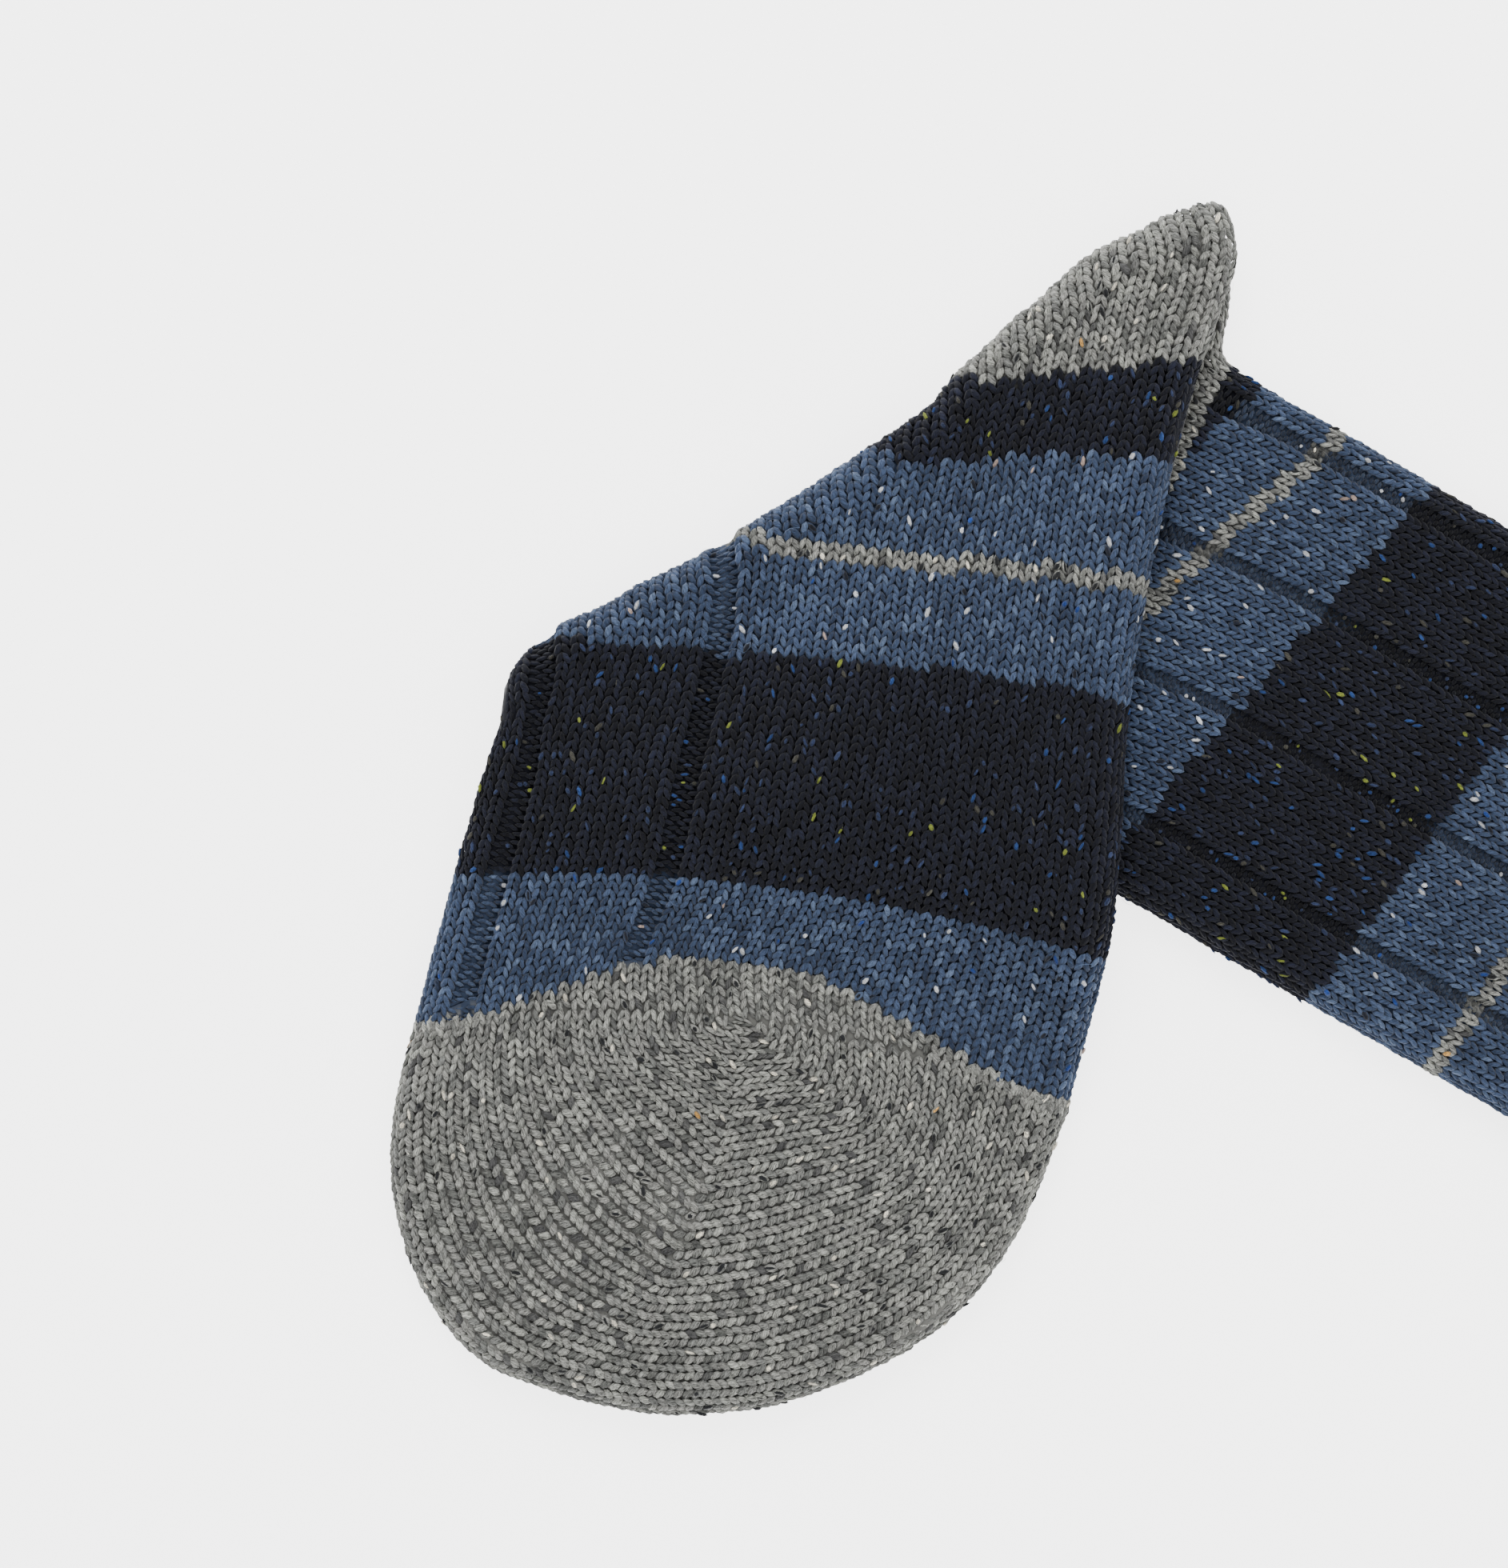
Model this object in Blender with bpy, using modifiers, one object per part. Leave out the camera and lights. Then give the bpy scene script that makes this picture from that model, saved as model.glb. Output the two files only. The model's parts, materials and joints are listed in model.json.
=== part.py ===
"""A thick knitted sock lying flat, its leg folded back under its foot.

The sock is a hollow knitted tube.  The foot lies on top with its toe down the page, the
leg comes out from under it along +X, and the two meet in a slanting fold whose far end
is the heel.  The tube is drawn as course lines, rows that run across it from the instep
edge to the sole or heel edge, and every row carries the same flattened section.
Everything is in metres with +Z up; the origin is on the ground under the leg.
"""

import math

import bmesh
import bpy

# Driving sizes
FOOT_LENGTH = 0.244
FOOT_WIDTH = 0.120
LEG_WIDTH = 0.096
LEG_LENGTH = 0.235
CUFF_LENGTH = 0.028
CUFF_WIDTH = 0.093
WALL = 0.0020
CUFF_WALL = 0.0023
LOFT = 0.0098
FOLD_LOFT = 0.0058
MOUTH_LOFT = 0.0124
LAYER_GAP = 0.0007
PIECE_GAP = 0.0004
TURN_GAP = 0.0008
RIB_DEPTH = 0.0007
FOOT_TURN = math.radians(30.0)

# Distances over which the form changes
EDGE_ROUND = 1.35
FOLD_TAPER = 0.046
DROOP = 0.036
SWAY_FADE = 0.024
MOUTH_TAPER = 0.050

# Stitch columns (wales) round the tube, counted from the instep edge
WALES = 96
FACE_WALES = WALES // 2
MID_WALE = FACE_WALES // 2
RIB_REPEAT = 12
FIRST_GROOVE = 4
GROOVE_HALF = 1.2
HEEL_WALES = 16
FACE_COLUMNS = (0, 0.35, 1.2, 2.8, 4, 5.2, 10, 14.8, 16, 17.2, 22, 26.8, 28, 29.2, 34,
                38.8, 40, 41.2, 45.2, 46.8, 47.65, 48)

# Rows of the foot, from the toe's rim to the start of the fold.
# Columns: name, instep edge (across, along), sole edge (across, along), bow of the row's
# middle towards the toe, loft, share of the slit for the heel, mesh rows to the next line.
# Across is a share of FOOT_WIDTH and the rest of FOOT_LENGTH, from the ankle point.
FOOT_ROWS = (
    ("rim", -0.820, -0.636, -0.220, -0.621, 0.036, 0.00, 0.0, 1),
    ("tip", -0.865, -0.625, -0.170, -0.605, 0.042, 0.70, 0.0, 1),
    ("tip", -0.907, -0.606, -0.125, -0.586, 0.047, 0.96, 0.0, 1),
    ("toe", -0.945, -0.581, -0.080, -0.562, 0.049, 1.00, 0.0, 1),
    ("toe", -0.977, -0.549, -0.037, -0.532, 0.045, 1.00, 0.0, 1),
    ("toe", -0.997, -0.515, -0.007, -0.502, 0.034, 1.00, 0.0, 1),
    ("toe", -1.009, -0.478, 0.015, -0.475, 0.018, 1.00, 0.0, 1),
    ("toe", -1.005, -0.441, 0.030, -0.454, -0.009, 1.00, 0.0, 1),
    ("toe", -0.992, -0.405, 0.041, -0.440, -0.042, 1.00, 0.0, 1),
    ("toe_edge", -0.971, -0.365, 0.050, -0.426, -0.080, 1.00, 0.0, 1),
    ("ball", -0.944, -0.312, 0.075, -0.377, -0.060, 1.00, 0.0, 2),
    ("ball", -0.910, -0.254, 0.102, -0.312, -0.024, 1.00, 0.0, 2),
    ("waist", -0.890, -0.217, 0.113, -0.245, -0.011, 1.00, 0.0, 2),
    ("waist", -0.875, -0.191, 0.125, -0.174, -0.004, 1.00, 0.0, 2),
    ("waist", -0.865, -0.173, 0.140, -0.106, -0.001, 1.00, 0.0, 2),
    ("arch", -0.857, -0.160, 0.165, -0.036, 0.000, 1.00, 0.0, 2),
    ("arch", -0.851, -0.150, 0.201, 0.041, 0.000, 1.00, 0.0, 2),
    ("heel_start", -0.848, -0.144, 0.253, 0.121, 0.000, 1.00, 0.0, 1),
    ("heel", -0.845, -0.141, 0.293, 0.176, 0.000, 1.00, 0.5, 1),
    ("heel", -0.844, -0.139, 0.306, 0.213, 0.000, 1.00, 0.8, 1),
    ("fold", -0.842, -0.138, 0.293, 0.247, 0.000, 1.00, 1.0, 1),
)
TOE_END = 9
FOLD_STEPS = 8
FOLD_SLIDE = (0.063, 0.003)
JOIN_SHARE = 0.6

# Rows of the leg as it comes out from under the foot.
# Columns: name, instep edge (along the leg, across), heel edge (along, across) as shares
# of LEG_WIDTH from the ankle point, share of the slit for the heel, mesh rows to the next.
LEG_ROWS = (
    ("turn", -0.565, -0.697, 0.059, 0.670, 0.7, 1),
    ("turn", -0.343, -0.645, 0.104, 0.588, 0.4, 1),
    ("heel_end", -0.100, -0.595, 0.141, 0.509, 0.0, 2),
    ("turn", 0.177, -0.543, 0.260, 0.498, 0.0, 2),
    ("straight", 0.459, -0.500, 0.442, 0.500, 0.0, 1),
)
LEG_ROW_PITCH = 0.0118
CUFF_STEPS = 4

# How far the fold's outer edge swells past a straight line.
# Columns: share along the fold from the instep end, swell as a share of FOOT_WIDTH.
FOLD_SWAY = (
    (0.00, 0.000), (0.06, 0.020), (0.11, 0.026), (0.20, 0.008), (0.31, -0.010),
    (0.45, -0.020), (0.60, -0.024), (0.68, 0.000), (0.76, 0.016), (0.86, 0.031),
    (0.94, 0.016), (1.00, 0.000),
)

GREY_MARL = (0.33, 0.34, 0.34)
NAVY_TWEED = (0.012, 0.016, 0.030)
BLUE_TWEED = (0.075, 0.125, 0.225)

HALF_LOFT = LOFT / 2
HALF_FOLD = FOLD_LOFT / 2
FOLD_RADIUS = HALF_FOLD + LAYER_GAP / 2
FOLD_AXIS_Z = FOLD_RADIUS + HALF_FOLD


def clamp(value, low=0.0, high=1.0):
    """The value held between two limits."""
    return max(low, min(high, value))


def smooth(value):
    """A soft step from 0 to 1."""
    value = clamp(value)
    return value * value * (3 - 2 * value)


def mix(a, b, share):
    """The point or number at a share of the way from a to b."""
    if isinstance(a, tuple):
        return tuple(mix(x, y, share) for x, y in zip(a, b))
    return a + (b - a) * share


def turned(across, along):
    """A point of the foot's own page, in metres, as it lies on the ground."""
    c, s = math.cos(FOOT_TURN), math.sin(FOOT_TURN)
    return (c * across - s * along, s * across + c * along)


def unit(vector):
    """The vector at length one."""
    size = math.hypot(*vector)
    return (vector[0] / size, vector[1] / size)


class Row:
    """One course line across the flattened tube."""

    def __init__(self, left, right, bow=(0.0, 0.0), loft=1.0, slit=0.0, fold=0.0):
        self.left = left
        self.right = right
        self.bow = bow
        self.loft = loft
        self.slit = slit
        self.fold = fold

    def between(self, other, share):
        """The row at a share of the way to the next one."""
        return Row(mix(self.left, other.left, share), mix(self.right, other.right, share),
                   mix(self.bow, other.bow, share), mix(self.loft, other.loft, share),
                   mix(self.slit, other.slit, share), mix(self.fold, other.fold, share))


def foot_row(entry):
    """A row of the foot's table as a Row on the ground."""
    left = turned(entry[1] * FOOT_WIDTH, entry[2] * FOOT_LENGTH)
    right = turned(entry[3] * FOOT_WIDTH, entry[4] * FOOT_LENGTH)
    bow = turned(0.0, -entry[5] * FOOT_LENGTH)
    return Row(left, right, bow, entry[6], entry[7])


def leg_row(entry):
    """A row of the leg's table as a Row on the ground."""
    left = (entry[1] * LEG_WIDTH, entry[2] * LEG_WIDTH)
    right = (entry[3] * LEG_WIDTH, entry[4] * LEG_WIDTH)
    return Row(left, right, slit=entry[5], fold=math.pi)


FOLD_ROW = foot_row(FOOT_ROWS[-1])
LEG_START = leg_row(LEG_ROWS[-1])
FOLD_ALONG = unit((FOLD_ROW.right[0] - FOLD_ROW.left[0], FOLD_ROW.right[1] - FOLD_ROW.left[1]))
FOLD_NORMAL = (FOLD_ALONG[1], -FOLD_ALONG[0])
FOLD_SPAN = math.dist(FOLD_ROW.left, FOLD_ROW.right)
LEG_EDGE = unit((LEG_START.left[0] - FOLD_ROW.left[0], LEG_START.left[1] - FOLD_ROW.left[1]))
BEYOND_LEG = (LEG_EDGE[1], -LEG_EDGE[0])


def from_fold(point):
    """A ground point's distance from the fold's axis and its share along it."""
    dx, dy = point[0] - FOLD_ROW.left[0], point[1] - FOLD_ROW.left[1]
    return (dx * FOLD_NORMAL[0] + dy * FOLD_NORMAL[1],
            (dx * FOLD_ALONG[0] + dy * FOLD_ALONG[1]) / FOLD_SPAN)


def sway_at(share):
    """How far the fold's edge swells at a share of its length."""
    for (s0, v0), (s1, v1) in zip(FOLD_SWAY, FOLD_SWAY[1:]):
        if share <= s1:
            return FOOT_WIDTH * mix(v0, v1, smooth((share - s0) / (s1 - s0)))
    return 0.0


def half_loft(distance):
    """Half the tube's thickness, thinner where it nears the fold."""
    return mix(HALF_FOLD, HALF_LOFT, smooth(distance / FOLD_TAPER))


def support(point, distance):
    """Height of what the foot lies on: the leg, then down to the ground past its edge."""
    past = ((point[0] - FOLD_ROW.left[0]) * BEYOND_LEG[0]
            + (point[1] - FOLD_ROW.left[1]) * BEYOND_LEG[1])
    return (2 * half_loft(distance) + LAYER_GAP) * (1 - smooth(past / DROOP))


def groove_at(wale, strength_instep, strength_sole):
    """Depth of the rib's sunk columns at a wale."""
    nearest = (wale - FIRST_GROOVE) % RIB_REPEAT
    nearest = min(nearest, RIB_REPEAT - nearest)
    on_sole = MID_WALE < wale < WALES - MID_WALE
    strength = strength_sole if on_sole else strength_instep
    return RIB_DEPTH * strength * clamp(1 - nearest / GROOVE_HALF)


def surface_point(row, wale, ribs=(0.0, 0.0), loft_scale=1.0):
    """The sock's outer surface at a row and a wale, folded as it lies."""
    upper = wale <= FACE_WALES
    across = (wale if upper else WALES - wale) / FACE_WALES
    width = math.dist(row.left, row.right)
    bend = 4 * across * (1 - across)
    ground = tuple(mix(row.left[i], row.right[i], across) + row.bow[i] * bend for i in (0, 1))
    distance, share = from_fold(ground)
    distance = max(distance, 0.0)
    half = half_loft(distance) * row.loft * loft_scale
    edge = EDGE_ROUND * HALF_LOFT
    inward = clamp(min(across, 1 - across) * width / edge)
    height = half * math.sqrt(1 - (1 - inward) ** 2)
    height = max(0.0, height - groove_at(wale, *ribs) * min(1.0, inward))
    height = height if upper else -height
    swell = sway_at(clamp(share)) * math.exp(-((distance / SWAY_FADE) ** 2))
    reach = -swell
    if row.fold <= 0.0:
        low = support(ground, distance)
        return (ground[0] + FOLD_NORMAL[0] * reach, ground[1] + FOLD_NORMAL[1] * reach,
                low + half_loft(distance) * loft_scale + height)
    if row.fold >= math.pi:
        return (ground[0] + FOLD_NORMAL[0] * reach, ground[1] + FOLD_NORMAL[1] * reach,
                half_loft(distance) * loft_scale - height)
    reach -= (FOLD_RADIUS + height) * math.sin(row.fold)
    return (ground[0] + FOLD_NORMAL[0] * reach, ground[1] + FOLD_NORMAL[1] * reach,
            FOLD_AXIS_Z + (FOLD_RADIUS + height) * math.cos(row.fold))


def spread(rows, steps):
    """Key rows with mesh rows put between them on a smooth course."""
    out = []
    for i, row in enumerate(rows[:-1]):
        before, after = rows[max(i - 1, 0)], rows[i + 1]
        beyond = rows[min(i + 2, len(rows) - 1)]
        for k in range(steps[i]):
            t = k / steps[i]
            out.append(row if k == 0 else curved(before, row, after, beyond, t))
    return out + [rows[-1]]


def curved(p0, p1, p2, p3, t):
    """A row on the smooth curve through four key rows."""
    def spline(a, b, c, d):
        """One number on the curve."""
        return 0.5 * (2 * b + (c - a) * t + (2 * a - 5 * b + 4 * c - d) * t * t
                      + (3 * b - 3 * c + d - a) * t ** 3)
    row = p1.between(p2, t)
    row.left = tuple(spline(*(p.left[i] for p in (p0, p1, p2, p3))) for i in (0, 1))
    row.right = tuple(spline(*(p.right[i] for p in (p0, p1, p2, p3))) for i in (0, 1))
    return row


def fold_rows():
    """The rows that roll over the fold, from the foot's side to the leg's."""
    rows = []
    for k in range(1, FOLD_STEPS + 1):
        share = k / FOLD_STEPS
        slid = [FOLD_SPAN * slide * share for slide in FOLD_SLIDE]
        left = tuple(FOLD_ROW.left[i] + FOLD_ALONG[i] * slid[0] for i in (0, 1))
        right = tuple(FOLD_ROW.right[i] + FOLD_ALONG[i] * slid[1] for i in (0, 1))
        rows.append(Row(left, right, slit=1.0, fold=math.pi * share))
    return rows


def shifted(row, towards, distance):
    """The row moved a small distance towards another, for a gap between pieces."""
    span = min(math.dist(row.left, towards.left), math.dist(row.right, towards.right))
    return row.between(towards, distance / span)


def ring_wales(row, half_gap):
    """The wales of a mesh row that runs round the tube, from the heel's slit back to it."""
    last = FACE_WALES - HEEL_WALES * row.slit - (half_gap if row.slit > 0 else 0.0)
    face = [w if w <= MID_WALE else mix(MID_WALE, last, (w - MID_WALE) / (FACE_WALES - MID_WALE))
            for w in FACE_COLUMNS]
    return [WALES - w for w in reversed(face)] + face[1:]


def heel_wales(row, half_gap):
    """The wales of a mesh row of the heel, from its top edge round to its lower one."""
    reach = max(HEEL_WALES * row.slit - half_gap, 0.0)
    shares = (1, 0.8, 0.6, 0.4, 0.22, 0.1, 0.03, 0, -0.03, -0.1, -0.22, -0.4, -0.6, -0.8, -1)
    return [FACE_WALES - reach * share for share in shares]


def shell(name, rows, wales_of, ribs_of, wall, colour, collection, loft_of=None):
    """One knitted piece: an open surface through its rows, with a wall inside it."""
    mesh = bpy.data.meshes.new(name)
    build = bmesh.new()
    grid = []
    for i, row in enumerate(rows):
        loft = loft_of(i) if loft_of else 1.0
        points = [surface_point(row, w % WALES if w != WALES else 0.0, ribs_of(i), loft)
                  for w in wales_of(row)]
        grid.append([build.verts.new(p) for p in points])
    for a, b in zip(grid, grid[1:]):
        for j in range(len(a) - 1):
            build.faces.new((a[j], a[j + 1], b[j + 1], b[j]))
    bmesh.ops.remove_doubles(build, verts=build.verts, dist=1e-6)
    build.to_mesh(mesh)
    build.free()
    mesh.shade_smooth()
    material = bpy.data.materials.new(name + "_wool")
    material.use_nodes = True
    shader = material.node_tree.nodes["Principled BSDF"]
    shader.inputs["Base Color"].default_value = (*colour, 1.0)
    shader.inputs["Roughness"].default_value = 0.95
    mesh.materials.append(material)
    piece = bpy.data.objects.new(name, mesh)
    collection.objects.link(piece)
    solidify = piece.modifiers.new("Wall", "SOLIDIFY")
    solidify.thickness = wall
    solidify.offset = -1.0
    solidify.use_even_offset = False
    return piece


def main():
    """Builds the toe, foot, heel, leg and cuff."""
    for old in list(bpy.data.objects):
        bpy.data.objects.remove(old, do_unlink=True)
    collection = bpy.data.collections.new("sock")
    bpy.context.scene.collection.children.link(collection)
    half_gap = PIECE_GAP / 2

    keys = [foot_row(entry) for entry in FOOT_ROWS]
    steps = [entry[8] for entry in FOOT_ROWS]
    toe_rows = spread(keys[:TOE_END + 1], steps[:TOE_END + 1])
    toe_rows[-1] = shifted(toe_rows[-1], toe_rows[-2], half_gap)
    upper = spread(keys[TOE_END:], steps[TOE_END:])
    upper[0] = shifted(upper[0], upper[1], half_gap)

    leg_keys = [leg_row(entry) for entry in LEG_ROWS]
    leg_steps = [entry[6] for entry in LEG_ROWS]
    turn = fold_rows()
    under = spread(leg_keys, leg_steps)
    join = turn[-1].between(under[0], JOIN_SHARE)
    foot_rows = upper + turn + [shifted(join, turn[-1], TURN_GAP / 2)]

    straight = LEG_LENGTH - CUFF_LENGTH - LEG_START.left[0]
    count = max(2, round(straight / LEG_ROW_PITCH))
    neck_left = (LEG_LENGTH - CUFF_LENGTH, -CUFF_WIDTH / 2)
    neck_right = (LEG_LENGTH - CUFF_LENGTH, CUFF_WIDTH / 2)
    neck = Row(neck_left, neck_right, fold=math.pi)
    leg_rows = [shifted(join, under[0], TURN_GAP / 2)] + under
    leg_rows += [LEG_START.between(neck, k / count) for k in range(1, count)]
    leg_rows += [shifted(neck, LEG_START, half_gap)]
    mouth = Row((LEG_LENGTH, -CUFF_WIDTH / 2), (LEG_LENGTH, CUFF_WIDTH / 2), fold=math.pi)
    cuff_rows = [shifted(neck, mouth, half_gap)]
    cuff_rows += [neck.between(mouth, k / CUFF_STEPS) for k in range(1, CUFF_STEPS + 1)]

    def mouth_loft(rows):
        """How much each row opens towards the mouth."""
        opened = MOUTH_LOFT / LOFT
        return [mix(1.0, opened, smooth((row.left[0] - LEG_LENGTH) / MOUTH_TAPER + 1))
                for row in rows]

    wale = LEG_WIDTH / FACE_WALES
    gap_wales = half_gap / wale * 1.3
    shell("toe", toe_rows, lambda r: ring_wales(r, gap_wales), lambda i: (0.0, 0.0), WALL,
          GREY_MARL, collection)
    shell("foot", foot_rows, lambda r: ring_wales(r, gap_wales), lambda i: (1.0, 0.0), WALL,
          NAVY_TWEED, collection)
    first = next(i for i, row in enumerate(foot_rows) if row.slit > 0)
    last = next(i for i, row in enumerate(leg_rows) if i > 0 and row.slit <= 0)
    start = foot_rows[first - 1].between(foot_rows[first], gap_wales / (
        HEEL_WALES * foot_rows[first].slit))
    stop = leg_rows[last].between(leg_rows[last - 1], gap_wales / (
        HEEL_WALES * leg_rows[last - 1].slit))
    heel_rows = [start] + foot_rows[first:-1] + [join] + leg_rows[1:last] + [stop]
    shell("heel", heel_rows, lambda r: heel_wales(r, gap_wales), lambda i: (0.0, 0.0), WALL,
          GREY_MARL, collection)
    leg_lofts = mouth_loft(leg_rows)
    sole_ribs = [0.0 if row.slit > 0 else clamp((i - last) / 3) for i, row in enumerate(leg_rows)]
    shell("leg", leg_rows, lambda r: ring_wales(r, gap_wales), lambda i: (1.0, sole_ribs[i]),
          WALL, BLUE_TWEED, collection, lambda i: leg_lofts[i])
    cuff_lofts = mouth_loft(cuff_rows)
    shell("cuff", cuff_rows, lambda r: ring_wales(r, gap_wales), lambda i: (1.0, 1.0),
          CUFF_WALL, GREY_MARL, collection, lambda i: cuff_lofts[i])


main()
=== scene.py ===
"""The looks of a thick tweed wool sock that lies flat, its leg folded back under its foot.

Every stitch of the knitting is laid on the sock's form: plump yarn legs in pairs on the
plain columns, cross bumps in the sunk columns of the rib, and nested loops round the toe.
"""

import itertools
import json
import logging
import math
from dataclasses import dataclass, field
from enum import Enum
from typing import Callable

import bmesh
import bpy
import numpy as np
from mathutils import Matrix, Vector
from mathutils.kdtree import KDTree

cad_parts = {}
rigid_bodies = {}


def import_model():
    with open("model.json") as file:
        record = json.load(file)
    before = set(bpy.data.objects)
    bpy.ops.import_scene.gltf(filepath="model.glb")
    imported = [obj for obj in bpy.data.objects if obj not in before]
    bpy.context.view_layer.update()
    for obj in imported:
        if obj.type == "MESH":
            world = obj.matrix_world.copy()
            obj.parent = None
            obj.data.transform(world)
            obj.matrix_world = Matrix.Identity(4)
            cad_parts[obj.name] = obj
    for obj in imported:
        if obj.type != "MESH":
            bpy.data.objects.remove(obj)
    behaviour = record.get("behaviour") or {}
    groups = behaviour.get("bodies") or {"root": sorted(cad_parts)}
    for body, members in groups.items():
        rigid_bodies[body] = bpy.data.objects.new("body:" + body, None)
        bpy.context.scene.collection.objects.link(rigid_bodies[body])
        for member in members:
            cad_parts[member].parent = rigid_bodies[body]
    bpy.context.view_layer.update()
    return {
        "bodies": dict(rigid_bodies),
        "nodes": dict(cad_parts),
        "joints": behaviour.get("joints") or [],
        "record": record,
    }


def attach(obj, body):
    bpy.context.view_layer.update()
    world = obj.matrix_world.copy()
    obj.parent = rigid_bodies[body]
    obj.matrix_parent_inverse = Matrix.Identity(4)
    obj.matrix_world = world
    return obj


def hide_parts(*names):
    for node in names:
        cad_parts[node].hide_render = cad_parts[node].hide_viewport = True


LOG = logging.getLogger("sock")
MM = 0.001

# The photograph's frame, and an estimated scale: what the usual length of such a sock gives.
PAGE_MM_PER_PIXEL = 0.15
PAGE_ANKLE = (1296.0, 687.0)
PAGE_CENTRE = (942.5, 980.0)
PAGE_SIZE = (1885.0, 1960.0)
PAGE_TURN = math.radians(30.0)


def linear(hex_colour: str) -> np.ndarray:
    """Turns an sRGB hex colour into linear red, green and blue.

    Args:
        hex_colour: Six hex digits.

    Returns:
        The three linear values.
    """
    value = np.array([int(hex_colour[i:i + 2], 16) / 255 for i in (0, 2, 4)])
    return np.where(value <= 0.04045, value / 12.92, ((value + 0.055) / 1.055) ** 2.4)


def smooth(value: np.ndarray) -> np.ndarray:
    """A soft step from 0 to 1."""
    value = np.clip(value, 0.0, 1.0)
    return value * value * (3 - 2 * value)


def mix(a: np.ndarray, b: np.ndarray, share: np.ndarray) -> np.ndarray:
    """The value at a share of the way from a to b."""
    return a + (b - a) * share


def turned(across: np.ndarray, along: np.ndarray) -> np.ndarray:
    """Page distances from the ankle point, in metres, as ground points."""
    c, s = math.cos(PAGE_TURN), math.sin(PAGE_TURN)
    return np.stack([c * across - s * along, s * across + c * along], axis=-1)


def from_page(points: np.ndarray) -> np.ndarray:
    """Page pixels as ground points in metres."""
    points = np.asarray(points, float)
    scale = PAGE_MM_PER_PIXEL * MM
    return turned((points[..., 0] - PAGE_ANKLE[0]) * scale, (PAGE_ANKLE[1] - points[..., 1]) * scale)


def spline(table: np.ndarray, at: np.ndarray) -> np.ndarray:
    """A smooth curve through the rows of a table.

    Args:
        table: One row of numbers for each key place.
        at: Places in units of rows.

    Returns:
        The numbers at each place.
    """
    last = len(table) - 1
    at = np.clip(at, 0, last)
    i = np.minimum(at.astype(int), last - 1)
    t = (at - i)[..., None]
    a, b = table[np.maximum(i - 1, 0)], table[i]
    c, d = table[i + 1], table[np.minimum(i + 2, last)]
    return 0.5 * (2 * b + (c - a) * t + (2 * a - 5 * b + 4 * c - d) * t ** 2
                  + (3 * b - 3 * c + d - a) * t ** 3)


class Yarn(Enum):
    """The three yarns of the sock; the value is the record's material slot."""

    GREY = "grey_marl"
    NAVY = "navy_tweed"
    BLUE = "blue_tweed"

    @property
    def code(self) -> int:
        """Its number in the arrays of stitches."""
        return list(Yarn).index(self)

    @property
    def shade(self) -> str:
        """Its colour's plain name."""
        return self.name.lower()


class Zone(Enum):
    """The pieces of the sock: the frame's node and the yarn that its record names."""

    TOE = ("toe", Yarn.GREY)
    FOOT = ("foot", Yarn.NAVY)
    HEEL = ("heel", Yarn.GREY)
    LEG = ("leg", Yarn.BLUE)
    CUFF = ("cuff", Yarn.GREY)

    def __init__(self, node: str, yarn: Yarn) -> None:
        """Keeps the node's name and its yarn."""
        self.node = node
        self.yarn = yarn

    @property
    def code(self) -> int:
        """Its number in the arrays of stitches."""
        return list(Zone).index(self)


@dataclass(frozen=True)
class Tweed:
    """A tweed yarn: the shades of its plies and the coloured neps spun into it.

    The shades are sRGB hex colours, each with its weight, and each nep has the share of
    the yarn legs that carry it.
    """

    name: str
    shades: tuple[str, ...]
    weights: tuple[float, ...]
    neps: tuple[str, ...]
    nep_shares: tuple[float, ...]
    # How far chance lightens or darkens a whole leg, and how strong its plies' noise is.
    spread: float
    contrast: float
    sheen: float
    nep_spread: float = 0.18

    def tints(self, count: int, rng: np.random.Generator) -> np.ndarray:
        """Draws the colour of each stitch leg.

        Args:
            count: How many legs.
            rng: The seeded source of chance.

        Returns:
            One linear colour for each leg, with a chance number as its alpha.
        """
        shades = np.array([linear(s) for s in self.shades])
        weights = np.array(self.weights) / sum(self.weights)
        first = shades[rng.choice(len(shades), count, p=weights)]
        second = shades[rng.choice(len(shades), count, p=weights)]
        colour = mix(first, second, rng.random((count, 1)))
        colour = colour * np.exp(rng.normal(0, self.spread, (count, 1)))
        return np.concatenate([np.clip(colour, 0, 1), rng.random((count, 1))], axis=1)

    def nep_tints(self, count: int, rng: np.random.Generator) -> tuple[np.ndarray, np.ndarray]:
        """Draws which legs carry a nep, and its colour.

        Args:
            count: How many legs there are.
            rng: The seeded source of chance.

        Returns:
            The numbers of the legs, and one linear colour with alpha for each.
        """
        draw = rng.random(count)
        edges = np.cumsum(self.nep_shares)
        which = np.searchsorted(edges, draw)
        chosen = np.flatnonzero(which < len(self.neps))
        palette = np.array([linear(n) for n in self.neps])
        colour = palette[which[chosen]] * np.exp(rng.normal(0, self.nep_spread, (len(chosen), 1)))
        return chosen, np.concatenate([np.clip(colour, 0, 1), rng.random((len(chosen), 1))], axis=1)


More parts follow.
